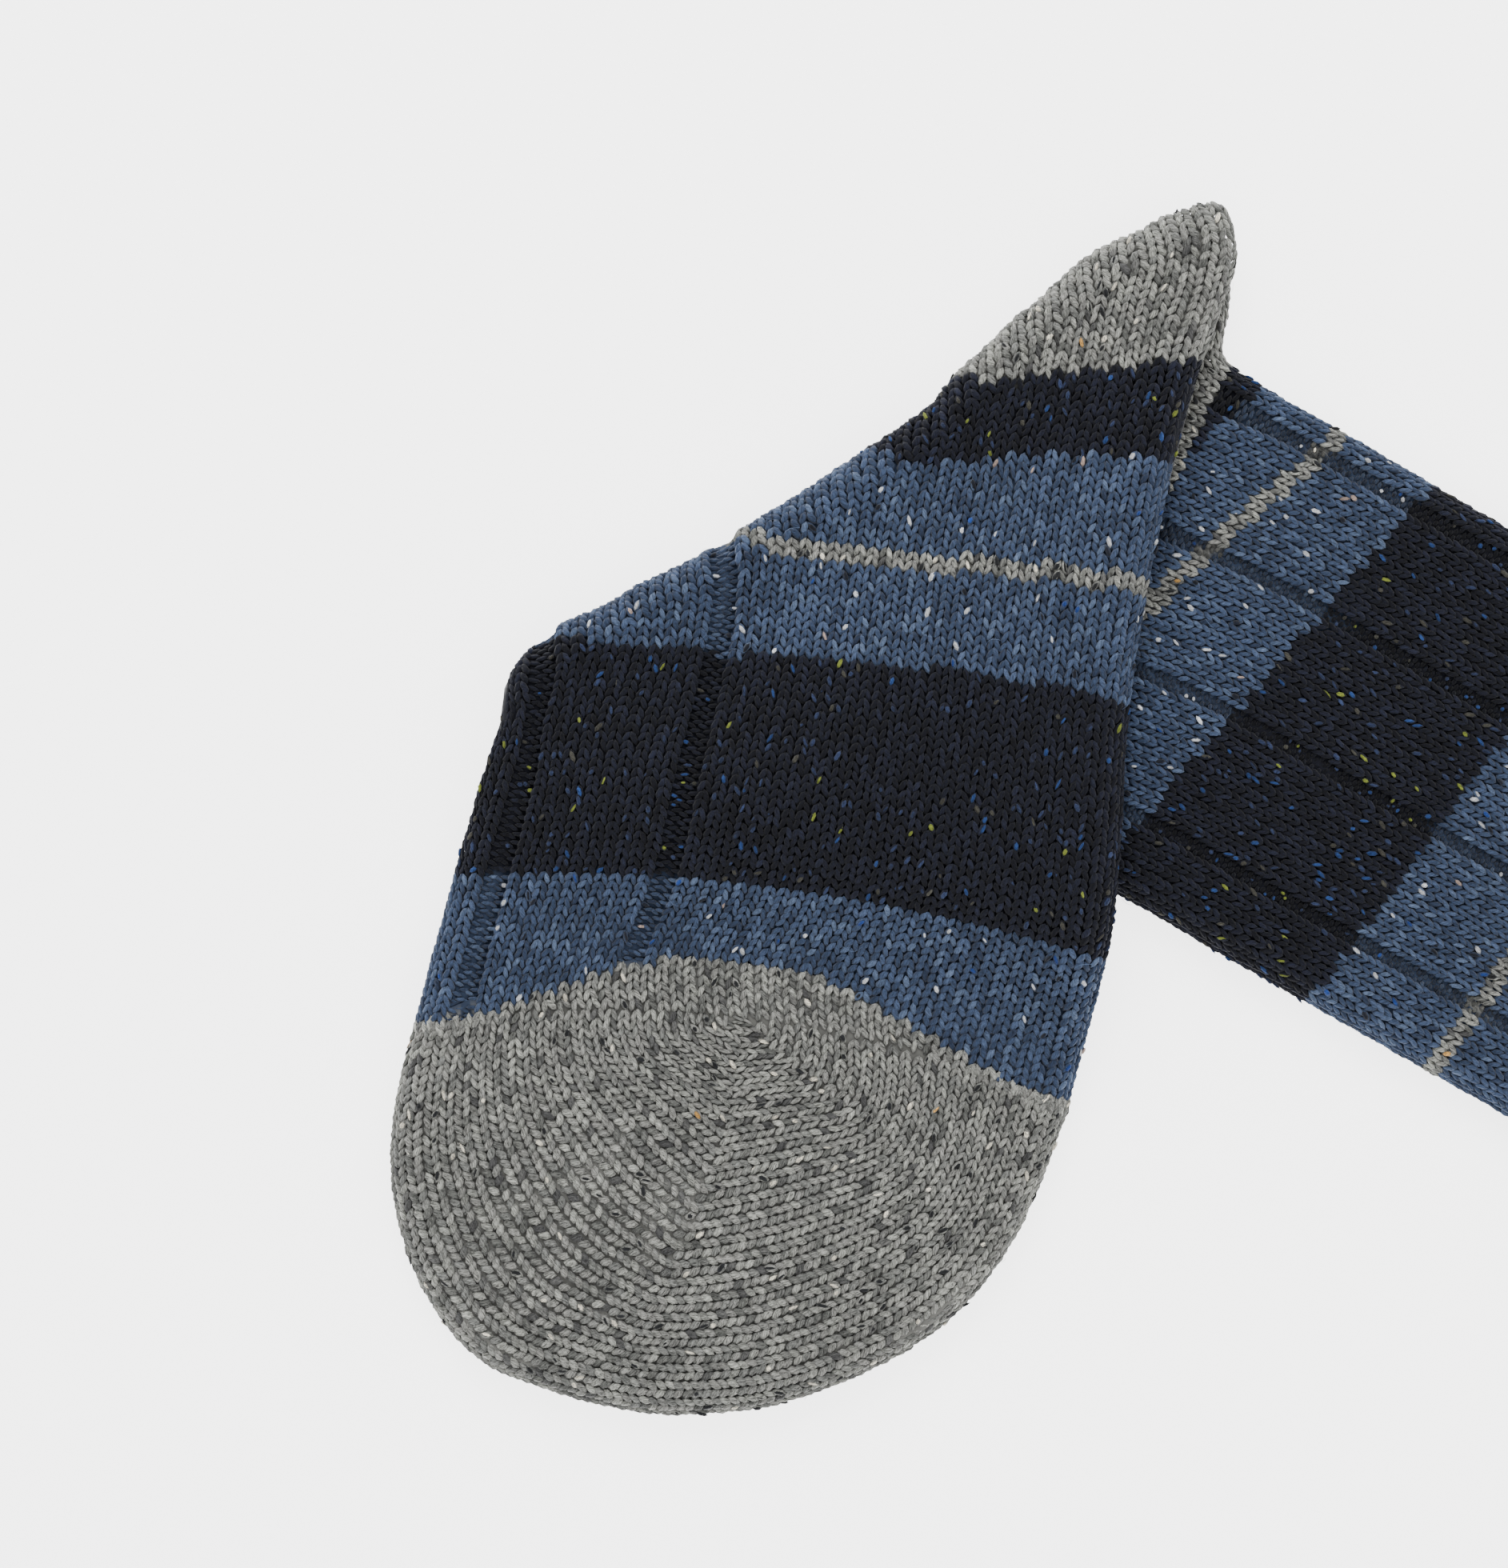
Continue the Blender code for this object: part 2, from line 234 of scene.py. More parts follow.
TWEEDS = {
    Yarn.GREY: Tweed(
        name="grey_wool_marl",
        shades=("858680", "757571", "656663", "525350", "3d3d3d"), weights=(3.0, 4.0, 3.0, 1.6, 0.7),
        neps=("17181a", "c9c3b2", "a77f45"), nep_shares=(0.030, 0.022, 0.0006),
        spread=0.09, contrast=0.74, sheen=0.12),
    Yarn.NAVY: Tweed(
        name="navy_wool_tweed",
        shades=("0f111b", "141622", "0a0b13", "181b29"), weights=(3.0, 2.5, 3.0, 1.0),
        neps=("646d2b", "1c3460", "222b44", "35342f"), nep_shares=(0.012, 0.020, 0.05, 0.02),
        spread=0.10, contrast=0.62, sheen=0.05),
    Yarn.BLUE: Tweed(
        name="blue_wool_tweed",
        shades=("313d54", "3b4861", "283348", "4a5870", "212a3d"), weights=(4.0, 3.0, 3.0, 1.2, 1.0),
        neps=("a9abae", "1a356f", "12151f", "8f7d74"), nep_shares=(0.018, 0.005, 0.008, 0.003),
        spread=0.07, contrast=0.50, sheen=0.10),
}


def add_node(tree: bpy.types.NodeTree, kind: str, links: dict | None = None,
             **settings) -> bpy.types.Node:
    """Adds a node with its settings, socket values and links.

    Args:
        tree: The node tree.
        kind: The node's type name.
        links: Input name or number to an output socket or a value.
        **settings: Properties of the node itself.

    Returns:
        The new node.
    """
    node = tree.nodes.new(kind)
    for name, value in settings.items():
        setattr(node, name, value)
    for key, value in (links or {}).items():
        if isinstance(value, bpy.types.NodeSocket):
            tree.links.new(value, node.inputs[key])
        else:
            node.inputs[key].default_value = value
    return node


@dataclass(frozen=True)
class SpunWool:
    """The finish of woollen spun yarn: matt, with twisted plies, fibres and a soft sheen.

    The plies' noise lies in each yarn leg's own coordinates, where the leg is two units
    long and two wide. It is drawn coarser than real fibres, which a render wouldn't show.
    """

    # The twist in radians for each unit along the leg, which is about one turn in 6 mm.
    twist: float = 1.5
    # How the noise is drawn out along the fibres, and shifted from leg to leg.
    stretch: tuple[float, float, float] = (1.5, 0.42, 1.5)
    shift: tuple[float, float, float] = (91.0, 57.0, 33.0)
    ply_scale: float = 2.4
    ply_detail: float = 3.0
    ply_roughness: float = 0.65
    ply_range: tuple[float, float] = (0.36, 0.64)
    ply_bright: float = 1.15
    fibre_scale: float = 4.5
    fibre_detail: float = 2.0
    fibre_strength: float = 0.6
    fibre_height: float = 0.3 * MM
    # Clouds of lighter and darker yarn, some 20 mm wide.
    cloud_scale: float = 48.0
    cloud_detail: float = 2.0
    cloud_range: tuple[float, float] = (0.3, 0.7)
    cloud_gains: tuple[float, float] = (0.92, 1.08)
    roughness: float = 0.92
    specular: float = 0.2
    sheen_roughness: float = 0.45

    def material(self, tweed: Tweed, lift: float) -> bpy.types.Material:
        """Wool of one tweed, coloured by its mesh's tints.

        Args:
            tweed: The yarn.
            lift: How bright the tint is shown, less than 1 for cloth between the stitches, which it
                darkens as painted shade in the gaps.

        Returns:
            The material.
        """
        # A lift below 1 shows the tint darker: painted shade for the cloth between the stitches.
        material = bpy.data.materials.new(tweed.name + ("" if lift >= 1 else "_ground"))
        material.use_nodes = True
        tree = material.node_tree
        shader = tree.nodes["Principled BSDF"]
        tint = add_node(tree, "ShaderNodeAttribute", attribute_name="tint")
        strand = self.strand(tree, tint.outputs["Alpha"])
        gain = self.gain(tree, strand, tweed)
        shown = add_node(tree, "ShaderNodeMath", {0: gain, 1: lift}, operation="MULTIPLY")
        colour = add_node(tree, "ShaderNodeVectorMath", {0: tint.outputs["Color"]}, operation="SCALE")
        tree.links.new(shown.outputs[0], colour.inputs["Scale"])
        tree.links.new(colour.outputs[0], shader.inputs["Base Color"])
        fibre = add_node(tree, "ShaderNodeTexNoise", {
            "Vector": strand, "Scale": self.fibre_scale, "Detail": self.fibre_detail})
        bump = add_node(tree, "ShaderNodeBump", {
            "Height": fibre.outputs[0], "Strength": self.fibre_strength, "Distance": self.fibre_height})
        tree.links.new(bump.outputs[0], shader.inputs["Normal"])
        shader.inputs["Roughness"].default_value = self.roughness
        shader.inputs["Specular IOR Level"].default_value = self.specular
        shader.inputs["Sheen Weight"].default_value = tweed.sheen
        shader.inputs["Sheen Roughness"].default_value = self.sheen_roughness
        return material

    def strand(self, tree: bpy.types.NodeTree, chance: bpy.types.NodeSocket) -> bpy.types.NodeSocket:
        """Coordinates that run round each leg as its fibres do, and differ from leg to leg.

        Args:
            tree: The material's node tree.
            chance: The leg's own chance number.

        Returns:
            The socket that gives them.
        """
        local = add_node(tree, "ShaderNodeAttribute", attribute_name="local").outputs["Vector"]
        parts = add_node(tree, "ShaderNodeSeparateXYZ", {0: local})
        twist = add_node(tree, "ShaderNodeMath", {0: parts.outputs["Y"], 1: self.twist},
                         operation="MULTIPLY")
        wound = add_node(tree, "ShaderNodeVectorRotate", {
            "Vector": local, "Axis": (0.0, 1.0, 0.0), "Angle": twist.outputs[0]})
        drawn = add_node(tree, "ShaderNodeVectorMath", {0: wound.outputs[0], 1: self.stretch},
                         operation="MULTIPLY")
        own = add_node(tree, "ShaderNodeVectorMath", {0: self.shift, "Scale": chance},
                       operation="SCALE")
        strand = add_node(tree, "ShaderNodeVectorMath", {0: drawn.outputs[0], 1: own.outputs[0]},
                          operation="ADD")
        return strand.outputs[0]

    def gain(self, tree: bpy.types.NodeTree, strand: bpy.types.NodeSocket,
             tweed: Tweed) -> bpy.types.NodeSocket:
        """How much lighter or darker the yarn is from place to place.

        Args:
            tree: The material's node tree.
            strand: The fibres' coordinates.
            tweed: The yarn.

        Returns:
            The socket that gives it.
        """
        place = add_node(tree, "ShaderNodeTexCoord").outputs["Object"]
        ply = add_node(tree, "ShaderNodeTexNoise", {
            "Vector": strand, "Scale": self.ply_scale, "Detail": self.ply_detail,
            "Roughness": self.ply_roughness})
        cloud = add_node(tree, "ShaderNodeTexNoise", {
            "Vector": place, "Scale": self.cloud_scale, "Detail": self.cloud_detail})
        low, high = 1 - tweed.contrast, 1 + tweed.contrast * self.ply_bright
        ply_gain = add_node(tree, "ShaderNodeMapRange", {
            0: ply.outputs[0], 1: self.ply_range[0], 2: self.ply_range[1], 3: low, 4: high})
        cloud_gain = add_node(tree, "ShaderNodeMapRange", {
            0: cloud.outputs[0], 1: self.cloud_range[0], 2: self.cloud_range[1],
            3: self.cloud_gains[0], 4: self.cloud_gains[1]})
        gain = add_node(tree, "ShaderNodeMath", {0: ply_gain.outputs[0], 1: cloud_gain.outputs[0]},
                        operation="MULTIPLY")
        return gain.outputs[0]


@dataclass
class SockForm:
    """The sock's outer surface, worked out from the same sizes as the frame's.

    Lengths are in metres. The foot's axis of length runs down the page, and a wale is a
    column of stitches, counted from the instep edge round the tube.
    """

    foot_width: float = 0.120
    foot_length: float = 0.244
    leg_width: float = 0.096
    leg_length: float = 0.235
    cuff_length: float = 0.028
    cuff_width: float = 0.093
    # The flattened tube's thickness, at the fold, and at the cuff's mouth.
    loft: float = 0.0098
    fold_loft: float = 0.0058
    mouth_loft: float = 0.0124
    layer_gap: float = 0.0007
    rib_depth: float = 0.0007
    # The side edges' depth, as a share of half the thickness.
    edge_round: float = 1.35
    # How far it takes to reach the full thickness, to sink to the ground and so on.
    fold_taper: float = 0.046
    droop: float = 0.036
    sway_fade: float = 0.024
    mouth_taper: float = 0.050
    wales: int = 96
    rib_repeat: int = 12
    first_groove: float = 4.0
    groove_half: float = 1.2
    sunk_share: float = 0.62
    # The fold's ends, as shares of the foot's width and length from the ankle, and how far
    # its edge swells at shares of its length, as a share of the foot's width.
    fold_left: tuple[float, float] = (-0.842, -0.138)
    fold_right: tuple[float, float] = (0.293, 0.247)
    sway: tuple[tuple[float, float], ...] = (
        (0.00, 0.000), (0.06, 0.020), (0.11, 0.026), (0.20, 0.008), (0.31, -0.010),
        (0.45, -0.020), (0.60, -0.024), (0.68, 0.000), (0.76, 0.016), (0.86, 0.031),
        (0.94, 0.016), (1.00, 0.000))
    # Where the leg's front edge is straight from, as shares of the leg's width.
    leg_start: tuple[float, float] = (0.459, -0.500)
    axis: np.ndarray = field(init=False)
    along: np.ndarray = field(init=False)
    normal: np.ndarray = field(init=False)
    beyond: np.ndarray = field(init=False)
    span: float = field(init=False)
    half: float = field(init=False)
    radius: float = field(init=False)
    axis_z: float = field(init=False)
    edge: float = field(init=False)
    quarter: float = field(init=False)

    def __post_init__(self) -> None:
        """Works out the fold's axis and the leg's edge on the ground."""
        left = turned(self.fold_left[0] * self.foot_width, self.fold_left[1] * self.foot_length)
        right = turned(self.fold_right[0] * self.foot_width, self.fold_right[1] * self.foot_length)
        self.axis = left
        self.span = float(np.linalg.norm(right - left))
        self.along = (right - left) / self.span
        self.normal = np.array([self.along[1], -self.along[0]])
        start = np.array(self.leg_start) * self.leg_width
        edge = (start - left) / np.linalg.norm(start - left)
        self.beyond = np.array([edge[1], -edge[0]])
        self.half = self.loft / 2
        self.radius = self.fold_loft / 2 + self.layer_gap / 2
        self.axis_z = self.radius + self.fold_loft / 2
        self.edge = self.edge_round * self.half
        self.quarter = math.pi / 2 * math.sqrt((self.edge ** 2 + self.half ** 2) / 2)

    def half_loft(self, distance: np.ndarray) -> np.ndarray:
        """Half the tube's thickness at a distance from the fold."""
        return mix(self.fold_loft / 2, self.half, smooth(distance / self.fold_taper))

    def support(self, ground: np.ndarray, distance: np.ndarray) -> np.ndarray:
        """Height of what the foot lies on."""
        past = (ground - self.axis) @ self.beyond
        return (2 * self.half_loft(distance) + self.layer_gap) * (1 - smooth(past / self.droop))

    def swell(self, share: np.ndarray) -> np.ndarray:
        """How far the fold's edge swells at a share of its length."""
        at = np.clip(share, 0, 1)
        places = np.array([row[0] for row in self.sway])
        values = np.array([row[1] for row in self.sway])
        i = np.clip(np.searchsorted(places, at, side="right") - 1, 0, len(places) - 2)
        t = smooth((at - places[i]) / (places[i + 1] - places[i]))
        return self.foot_width * mix(values[i], values[i + 1], t)

    def squeezed(self, wale: np.ndarray, ribbed: np.ndarray | float) -> np.ndarray:
        """Moves wales so that the rib's sunk columns are narrow and its ribs are wide.

        Args:
            wale: Wales from the instep edge.
            ribbed: How much of it, from 0 to 1.

        Returns:
            The moved wales.
        """
        half = self.rib_repeat / 2
        off = np.mod(wale - self.first_groove + half, self.rib_repeat) - half
        size = np.abs(off)
        near = self.sunk_share
        wide = np.where(size < 1, size * near, near + (size - 1) * (half - near) / (half - 1))
        return wale + (np.sign(off) * wide - off) * ribbed

    def section(self, wale: np.ndarray, width: np.ndarray) -> tuple[np.ndarray, np.ndarray]:
        """Where a wale lies in the flattened section.

        Args:
            wale: Wales from the instep edge, round the tube.
            width: The section's width in metres.

        Returns:
            The distance in from the instep edge, and the share of the half thickness,
            which is negative on the lower face.
        """
        half_count = self.wales / 2
        upper = wale <= half_count
        face = np.where(upper, wale, self.wales - wale) / half_count
        length = width - 2 * self.edge + 2 * self.quarter
        arc = face * length
        near = np.minimum(arc, length - arc)
        angle = np.clip(near / self.quarter, 0, 1) * math.pi / 2
        inward = np.where(near < self.quarter, self.edge * (1 - np.cos(angle)),
                          self.edge + near - self.quarter)
        inward = np.where(arc <= length / 2, inward, width - inward)
        return inward, np.where(upper, 1.0, -1.0) * np.sin(angle)

    def on_sole(self, wale: np.ndarray) -> np.ndarray:
        """Whether wales lie on the sole's half of the tube."""
        return (wale > self.wales / 4) & (wale < self.wales * 3 / 4)

    def sunk(self, wale: np.ndarray) -> np.ndarray:
        """Whether wales lie in the rib's sunk columns, which are two wales wide."""
        slot = np.mod(np.floor(wale), self.rib_repeat) + 0.5
        return np.abs(slot - self.first_groove) < 1

    def groove(self, wale: np.ndarray, instep: float, sole: float | np.ndarray) -> np.ndarray:
        """Depth of the rib's sunk columns at a wale.

        Args:
            wale: Wales from the instep edge.
            instep: How much of the depth there is on the instep, from 0 to 1.
            sole: How much of it there is on the sole.

        Returns:
            Depths in metres.
        """
        nearest = np.mod(wale - self.first_groove, self.rib_repeat)
        nearest = np.minimum(nearest, self.rib_repeat - nearest)
        strength = np.where(self.on_sole(wale), sole, instep)
        return self.rib_depth * strength * np.clip(1 - nearest / self.groove_half, 0, 1)

    def laid(self, ground: np.ndarray, height: np.ndarray, thick: np.ndarray) -> np.ndarray:
        """A point of the unfolded foot as it lies, rolled over the fold where it passes it.

        Args:
            ground: Ground points of the unfolded foot.
            height: Height from the tube's middle, as a share of the half thickness.
            thick: Depth that is taken off that height, in metres.

        Returns:
            Points in metres.
        """
        offset = ground - self.axis
        distance = offset @ self.normal
        share = (offset @ self.along) / self.span
        arc = math.pi * self.radius
        flat = np.where(distance >= 0, distance, np.where(distance < -arc, -(distance + arc), 0.0))
        half = self.half_loft(flat)
        raised = np.sign(height) * np.maximum(np.abs(height) * half - thick, 0.0)
        angle = np.clip(-distance / self.radius, 0, math.pi)
        reach = flat - self.swell(share) * np.exp(-((flat / self.sway_fade) ** 2))
        reach = reach - (self.radius + raised) * np.sin(angle)
        level = ground - distance[..., None] * self.normal
        plan = level + self.normal * reach[..., None]
        top = self.support(ground, flat) + half + raised
        turn = self.axis_z + (self.radius + raised) * np.cos(angle)
        under = half - raised
        z = np.where(distance >= 0, top, np.where(distance < -arc, under, turn))
        return np.concatenate([plan, z[..., None]], axis=-1)

    def leg_laid(self, ground: np.ndarray, height: np.ndarray, thick: np.ndarray) -> np.ndarray:
        """A point of the leg as it lies on the ground.

        Args:
            ground: Ground points of the leg.
            height: Height from the tube's middle, as a share of the half thickness.
            thick: Depth that is taken off that height, in metres.

        Returns:
            Points in metres.
        """
        offset = ground - self.axis
        flat = np.maximum(offset @ self.normal, 0)
        share = (offset @ self.along) / self.span
        opened = mix(1.0, self.mouth_loft / self.loft,
                     smooth((ground[..., 0] - self.leg_length) / self.mouth_taper + 1))
        half = self.half_loft(flat) * opened
        raised = np.sign(height) * np.maximum(np.abs(height) * half - thick, 0.0)
        swell = self.swell(share) * np.exp(-((flat / self.sway_fade) ** 2))
        plan = ground - self.normal * swell[..., None]
        return np.concatenate([plan, (half - raised)[..., None]], axis=-1)


@dataclass
class Stitches:
    """Places of stitch legs: middle, across and along directions, and what they are."""

    place: np.ndarray
    across: np.ndarray
    course: np.ndarray
    purl: np.ndarray
    yarn: np.ndarray
    zone: np.ndarray
    top: np.ndarray

    @staticmethod
    def joined(parts: list["Stitches"]) -> "Stitches":
        """All the stitches of several fields together."""
        names = ("place", "across", "course", "purl", "yarn", "zone", "top")
        return Stitches(*(np.concatenate([getattr(p, n) for p in parts]) for n in names))


@dataclass
class Knitting:
    """How the cloth is knitted: the size of a stitch and the way wales are followed."""

    form: SockForm
    course_pitch: float = 1.70 * MM
    wale_step: float = 0.25

    def follow(self, surface: Callable, wales: np.ndarray, datum: np.ndarray, start: float,
               end: float, step: float = 0.02) -> tuple[np.ndarray, np.ndarray]:
        """Places stitches at even steps along each wale, from a datum course.

        Args:
            surface: Gives points for wales and row places.
            wales: The wales to follow.
            datum: The row place of the datum course on each wale.
            start: First row place.
            end: Last row place.
            step: How finely each wale is followed.

        Returns:
            The wale and the row place of each stitch.
        """
        rows = np.arange(start, end + step / 2, step)
        w, t = np.meshgrid(wales, rows, indexing="ij")
        points = surface(w, t)
        run = np.linalg.norm(np.diff(points, axis=1), axis=2)
        length = np.concatenate([np.zeros((len(wales), 1)), np.cumsum(run, axis=1)], axis=1)
        found_w, found_t = [], []
        for i, wale in enumerate(wales):
            zero = np.interp(datum[i], rows, length[i])
            first = math.ceil((0.0 - zero) / self.course_pitch - 0.5)
            last = math.floor((length[i][-1] - zero) / self.course_pitch - 0.5)
            at = zero + (np.arange(first, last + 1) + 0.5) * self.course_pitch
            at = at[(at >= 0) & (at <= length[i][-1])]
            found_t.append(np.interp(at, length[i], rows))
            found_w.append(np.full(len(at), wale))
        return np.concatenate(found_w), np.concatenate(found_t)

    def frames(self, surface: Callable, w: np.ndarray, t: np.ndarray,
               dt: float = 0.01) -> tuple[np.ndarray, ...]:
        """Middle, across vector for one wale and unit course direction at each stitch.

        Args:
            surface: Gives points for wales and row places.
            w: The stitches' wales.
            t: Their row places.
            dt: The step of row place that shows the course's direction.

        Returns:
            Three arrays of vectors.
        """
        dw = self.wale_step
        place = surface(w, t)
        across = (surface(w + dw, t) - surface(w - dw, t)) / (2 * dw)
        course = surface(w, t + dt) - surface(w, t - dt)
        course /= np.maximum(np.linalg.norm(course, axis=1, keepdims=True), 1e-9)
        return place, across, course


@dataclass
class FootKnit:
    """The foot's knitting: its course lines on the page, and the bands of its colours."""

    knitting: Knitting
    # Columns: course line, instep end (x, y), sole end (x, y), sag of the middle in pixels,
    # and how peaked the sag is.
    rows: tuple = (
        ("gore start", 519, 1281, 1336, 1381, -58, 1.0),
        ("toe edge", 519, 1280, 1336, 1380, -132, 1.8),
        ("navy edge", 568, 1095, 1378, 1198, -38, 1.0),
        ("waist", 612, 950, 1394, 1040, -30, 1.0),
        ("blue edge", 650, 836, 1404, 888, -38, 0.7),
        ("thin stripe", 655, 645, 1427, 737, -8, 1.0),
        ("navy start", 657, 545, 1462, 582, -4, 1.0),
        ("heel edge", 659, 474, 1503, 466, 14, 1.0),
        ("heel", 662, 380, 1541, 345, 8, 1.0),
        ("heel tip", 666, 290, 1533, 266, 0, 1.0),
        ("leg side", 668, 190, 1485, 195, 0, 1.0),
    )
    toe_edge: float = 1.0
    navy_edge: float = 2.0
    blue_edge: float = 4.0
    stripe: float = 5.0
    navy_start: float = 6.0
    heel_edge: float = 7.0
    end: float = 10.0
    pull_in: float = 0.4
    # How soon the rib starts past the toe's edge, in parts of a row.
    rib_start_rate: float = 4.0
    # What of the under face is left out: what lies over the leg, but for its edges, and
    # what lies close to the fold.
    leg_cover: float = 4.0 * MM
    edge_wales: float = 2.5
    fold_cover: float = 6.0 * MM

    def __post_init__(self) -> None:
        """Turns the page's course lines into ground points."""
        left = from_page(np.array([(r[1], r[2]) for r in self.rows]))
        right = from_page(np.array([(r[3], r[4]) for r in self.rows]))
        scale = PAGE_MM_PER_PIXEL * MM
        sag = np.array([r[5] for r in self.rows], float) * scale
        peak = np.array([r[6] for r in self.rows], float)
        self.table = np.concatenate([left, right, sag[:, None], peak[:, None]], axis=1)

    def unfolded(self, w: np.ndarray, t: np.ndarray) -> tuple[np.ndarray, np.ndarray, np.ndarray]:
        """Where the foot's outer face would lie if the leg weren't folded back.

        Args:
            w: Wales.
            t: Row places.

        Returns:
            Ground points, shares of the half thickness and the depth of the rib.
        """
        form = self.knitting.form
        w = np.mod(w, form.wales)
        row = spline(self.table, t)
        left, right, sag = row[..., 0:2], row[..., 2:4], row[..., 4]
        width = np.linalg.norm(right - left, axis=-1)
        ribbed = np.clip((t - self.toe_edge) * self.rib_start_rate, 0, 1)
        inward, height = form.section(form.squeezed(w, ribbed * ~form.on_sole(w) * self.pull_in), width)
        share = (inward / width)[..., None]
        down = turned(0.0, -1.0)
        bow = np.clip(4 * share * (1 - share), 0, 1) ** row[..., 5:6]
        ground = mix(left, right, share) + down * (sag[..., None] * bow)
        return ground, height, form.groove(w, 1.0, 0.0) * ribbed

    def surface(self, w: np.ndarray, t: np.ndarray) -> np.ndarray:
        """Points of the foot's outer face at wales and row places."""
        return self.knitting.form.laid(*self.unfolded(w, t))

    def stitches(self) -> Stitches:
        """All the stitches of the foot and the heel."""
        form = self.knitting.form
        wales = np.arange(form.wales) + 0.5
        w, t = self.knitting.follow(self.surface, wales, np.full(form.wales, self.navy_edge),
                                    0.0, self.end)
        place, across, course = self.knitting.frames(self.surface, w, t)
        sole = form.on_sole(w)
        toe = t < self.toe_edge
        heel = (t >= self.heel_edge) & sole
        yarn = np.full(len(w), Yarn.BLUE.code)
        yarn[(t >= self.navy_edge) & (t < self.blue_edge)] = Yarn.NAVY.code
        yarn[(t >= self.navy_start) & (t < self.heel_edge)] = Yarn.NAVY.code
        yarn[toe | heel] = Yarn.GREY.code
        line = self.surface(w, np.full(len(w), self.stripe))
        from_line = np.linalg.norm(place - line, axis=1)
        yarn[from_line < self.knitting.course_pitch] = Yarn.GREY.code
        zone = np.where(toe, Zone.TOE.code, np.where(heel, Zone.HEEL.code, Zone.FOOT.code))
        purl = form.sunk(w) & ~sole & (t > self.toe_edge)
        top = w <= form.wales / 2
        keep = self.seen(w, t, place, top)
        return Stitches(place[keep], across[keep], course[keep], purl[keep], yarn[keep],
                        zone[keep], top[keep])

    def seen(self, w: np.ndarray, t: np.ndarray, place: np.ndarray, top: np.ndarray) -> np.ndarray:
        """Which stitches aren't pressed out of sight between the foot and the leg.

        Args:
            w: The stitches' wales.
            t: Their row places.
            place: Where they lie.
            top: Whether they are on the upper face.

        Returns:
            One yes or no for each.
        """
        form = self.knitting.form
        face = np.where(w <= form.wales / 2, w, form.wales - w)
        offset = place[:, :2] - form.axis
        inner = (face > self.edge_wales) & (face < form.wales / 2 - self.edge_wales)
        over_leg = (offset @ form.beyond < -self.leg_cover) & inner
        at_fold = offset @ form.normal < self.fold_cover
        flat = (self.unfolded(w, t)[0] - form.axis) @ form.normal
        return ~(~top & (over_leg | at_fold)) & (flat > -math.pi * form.radius)


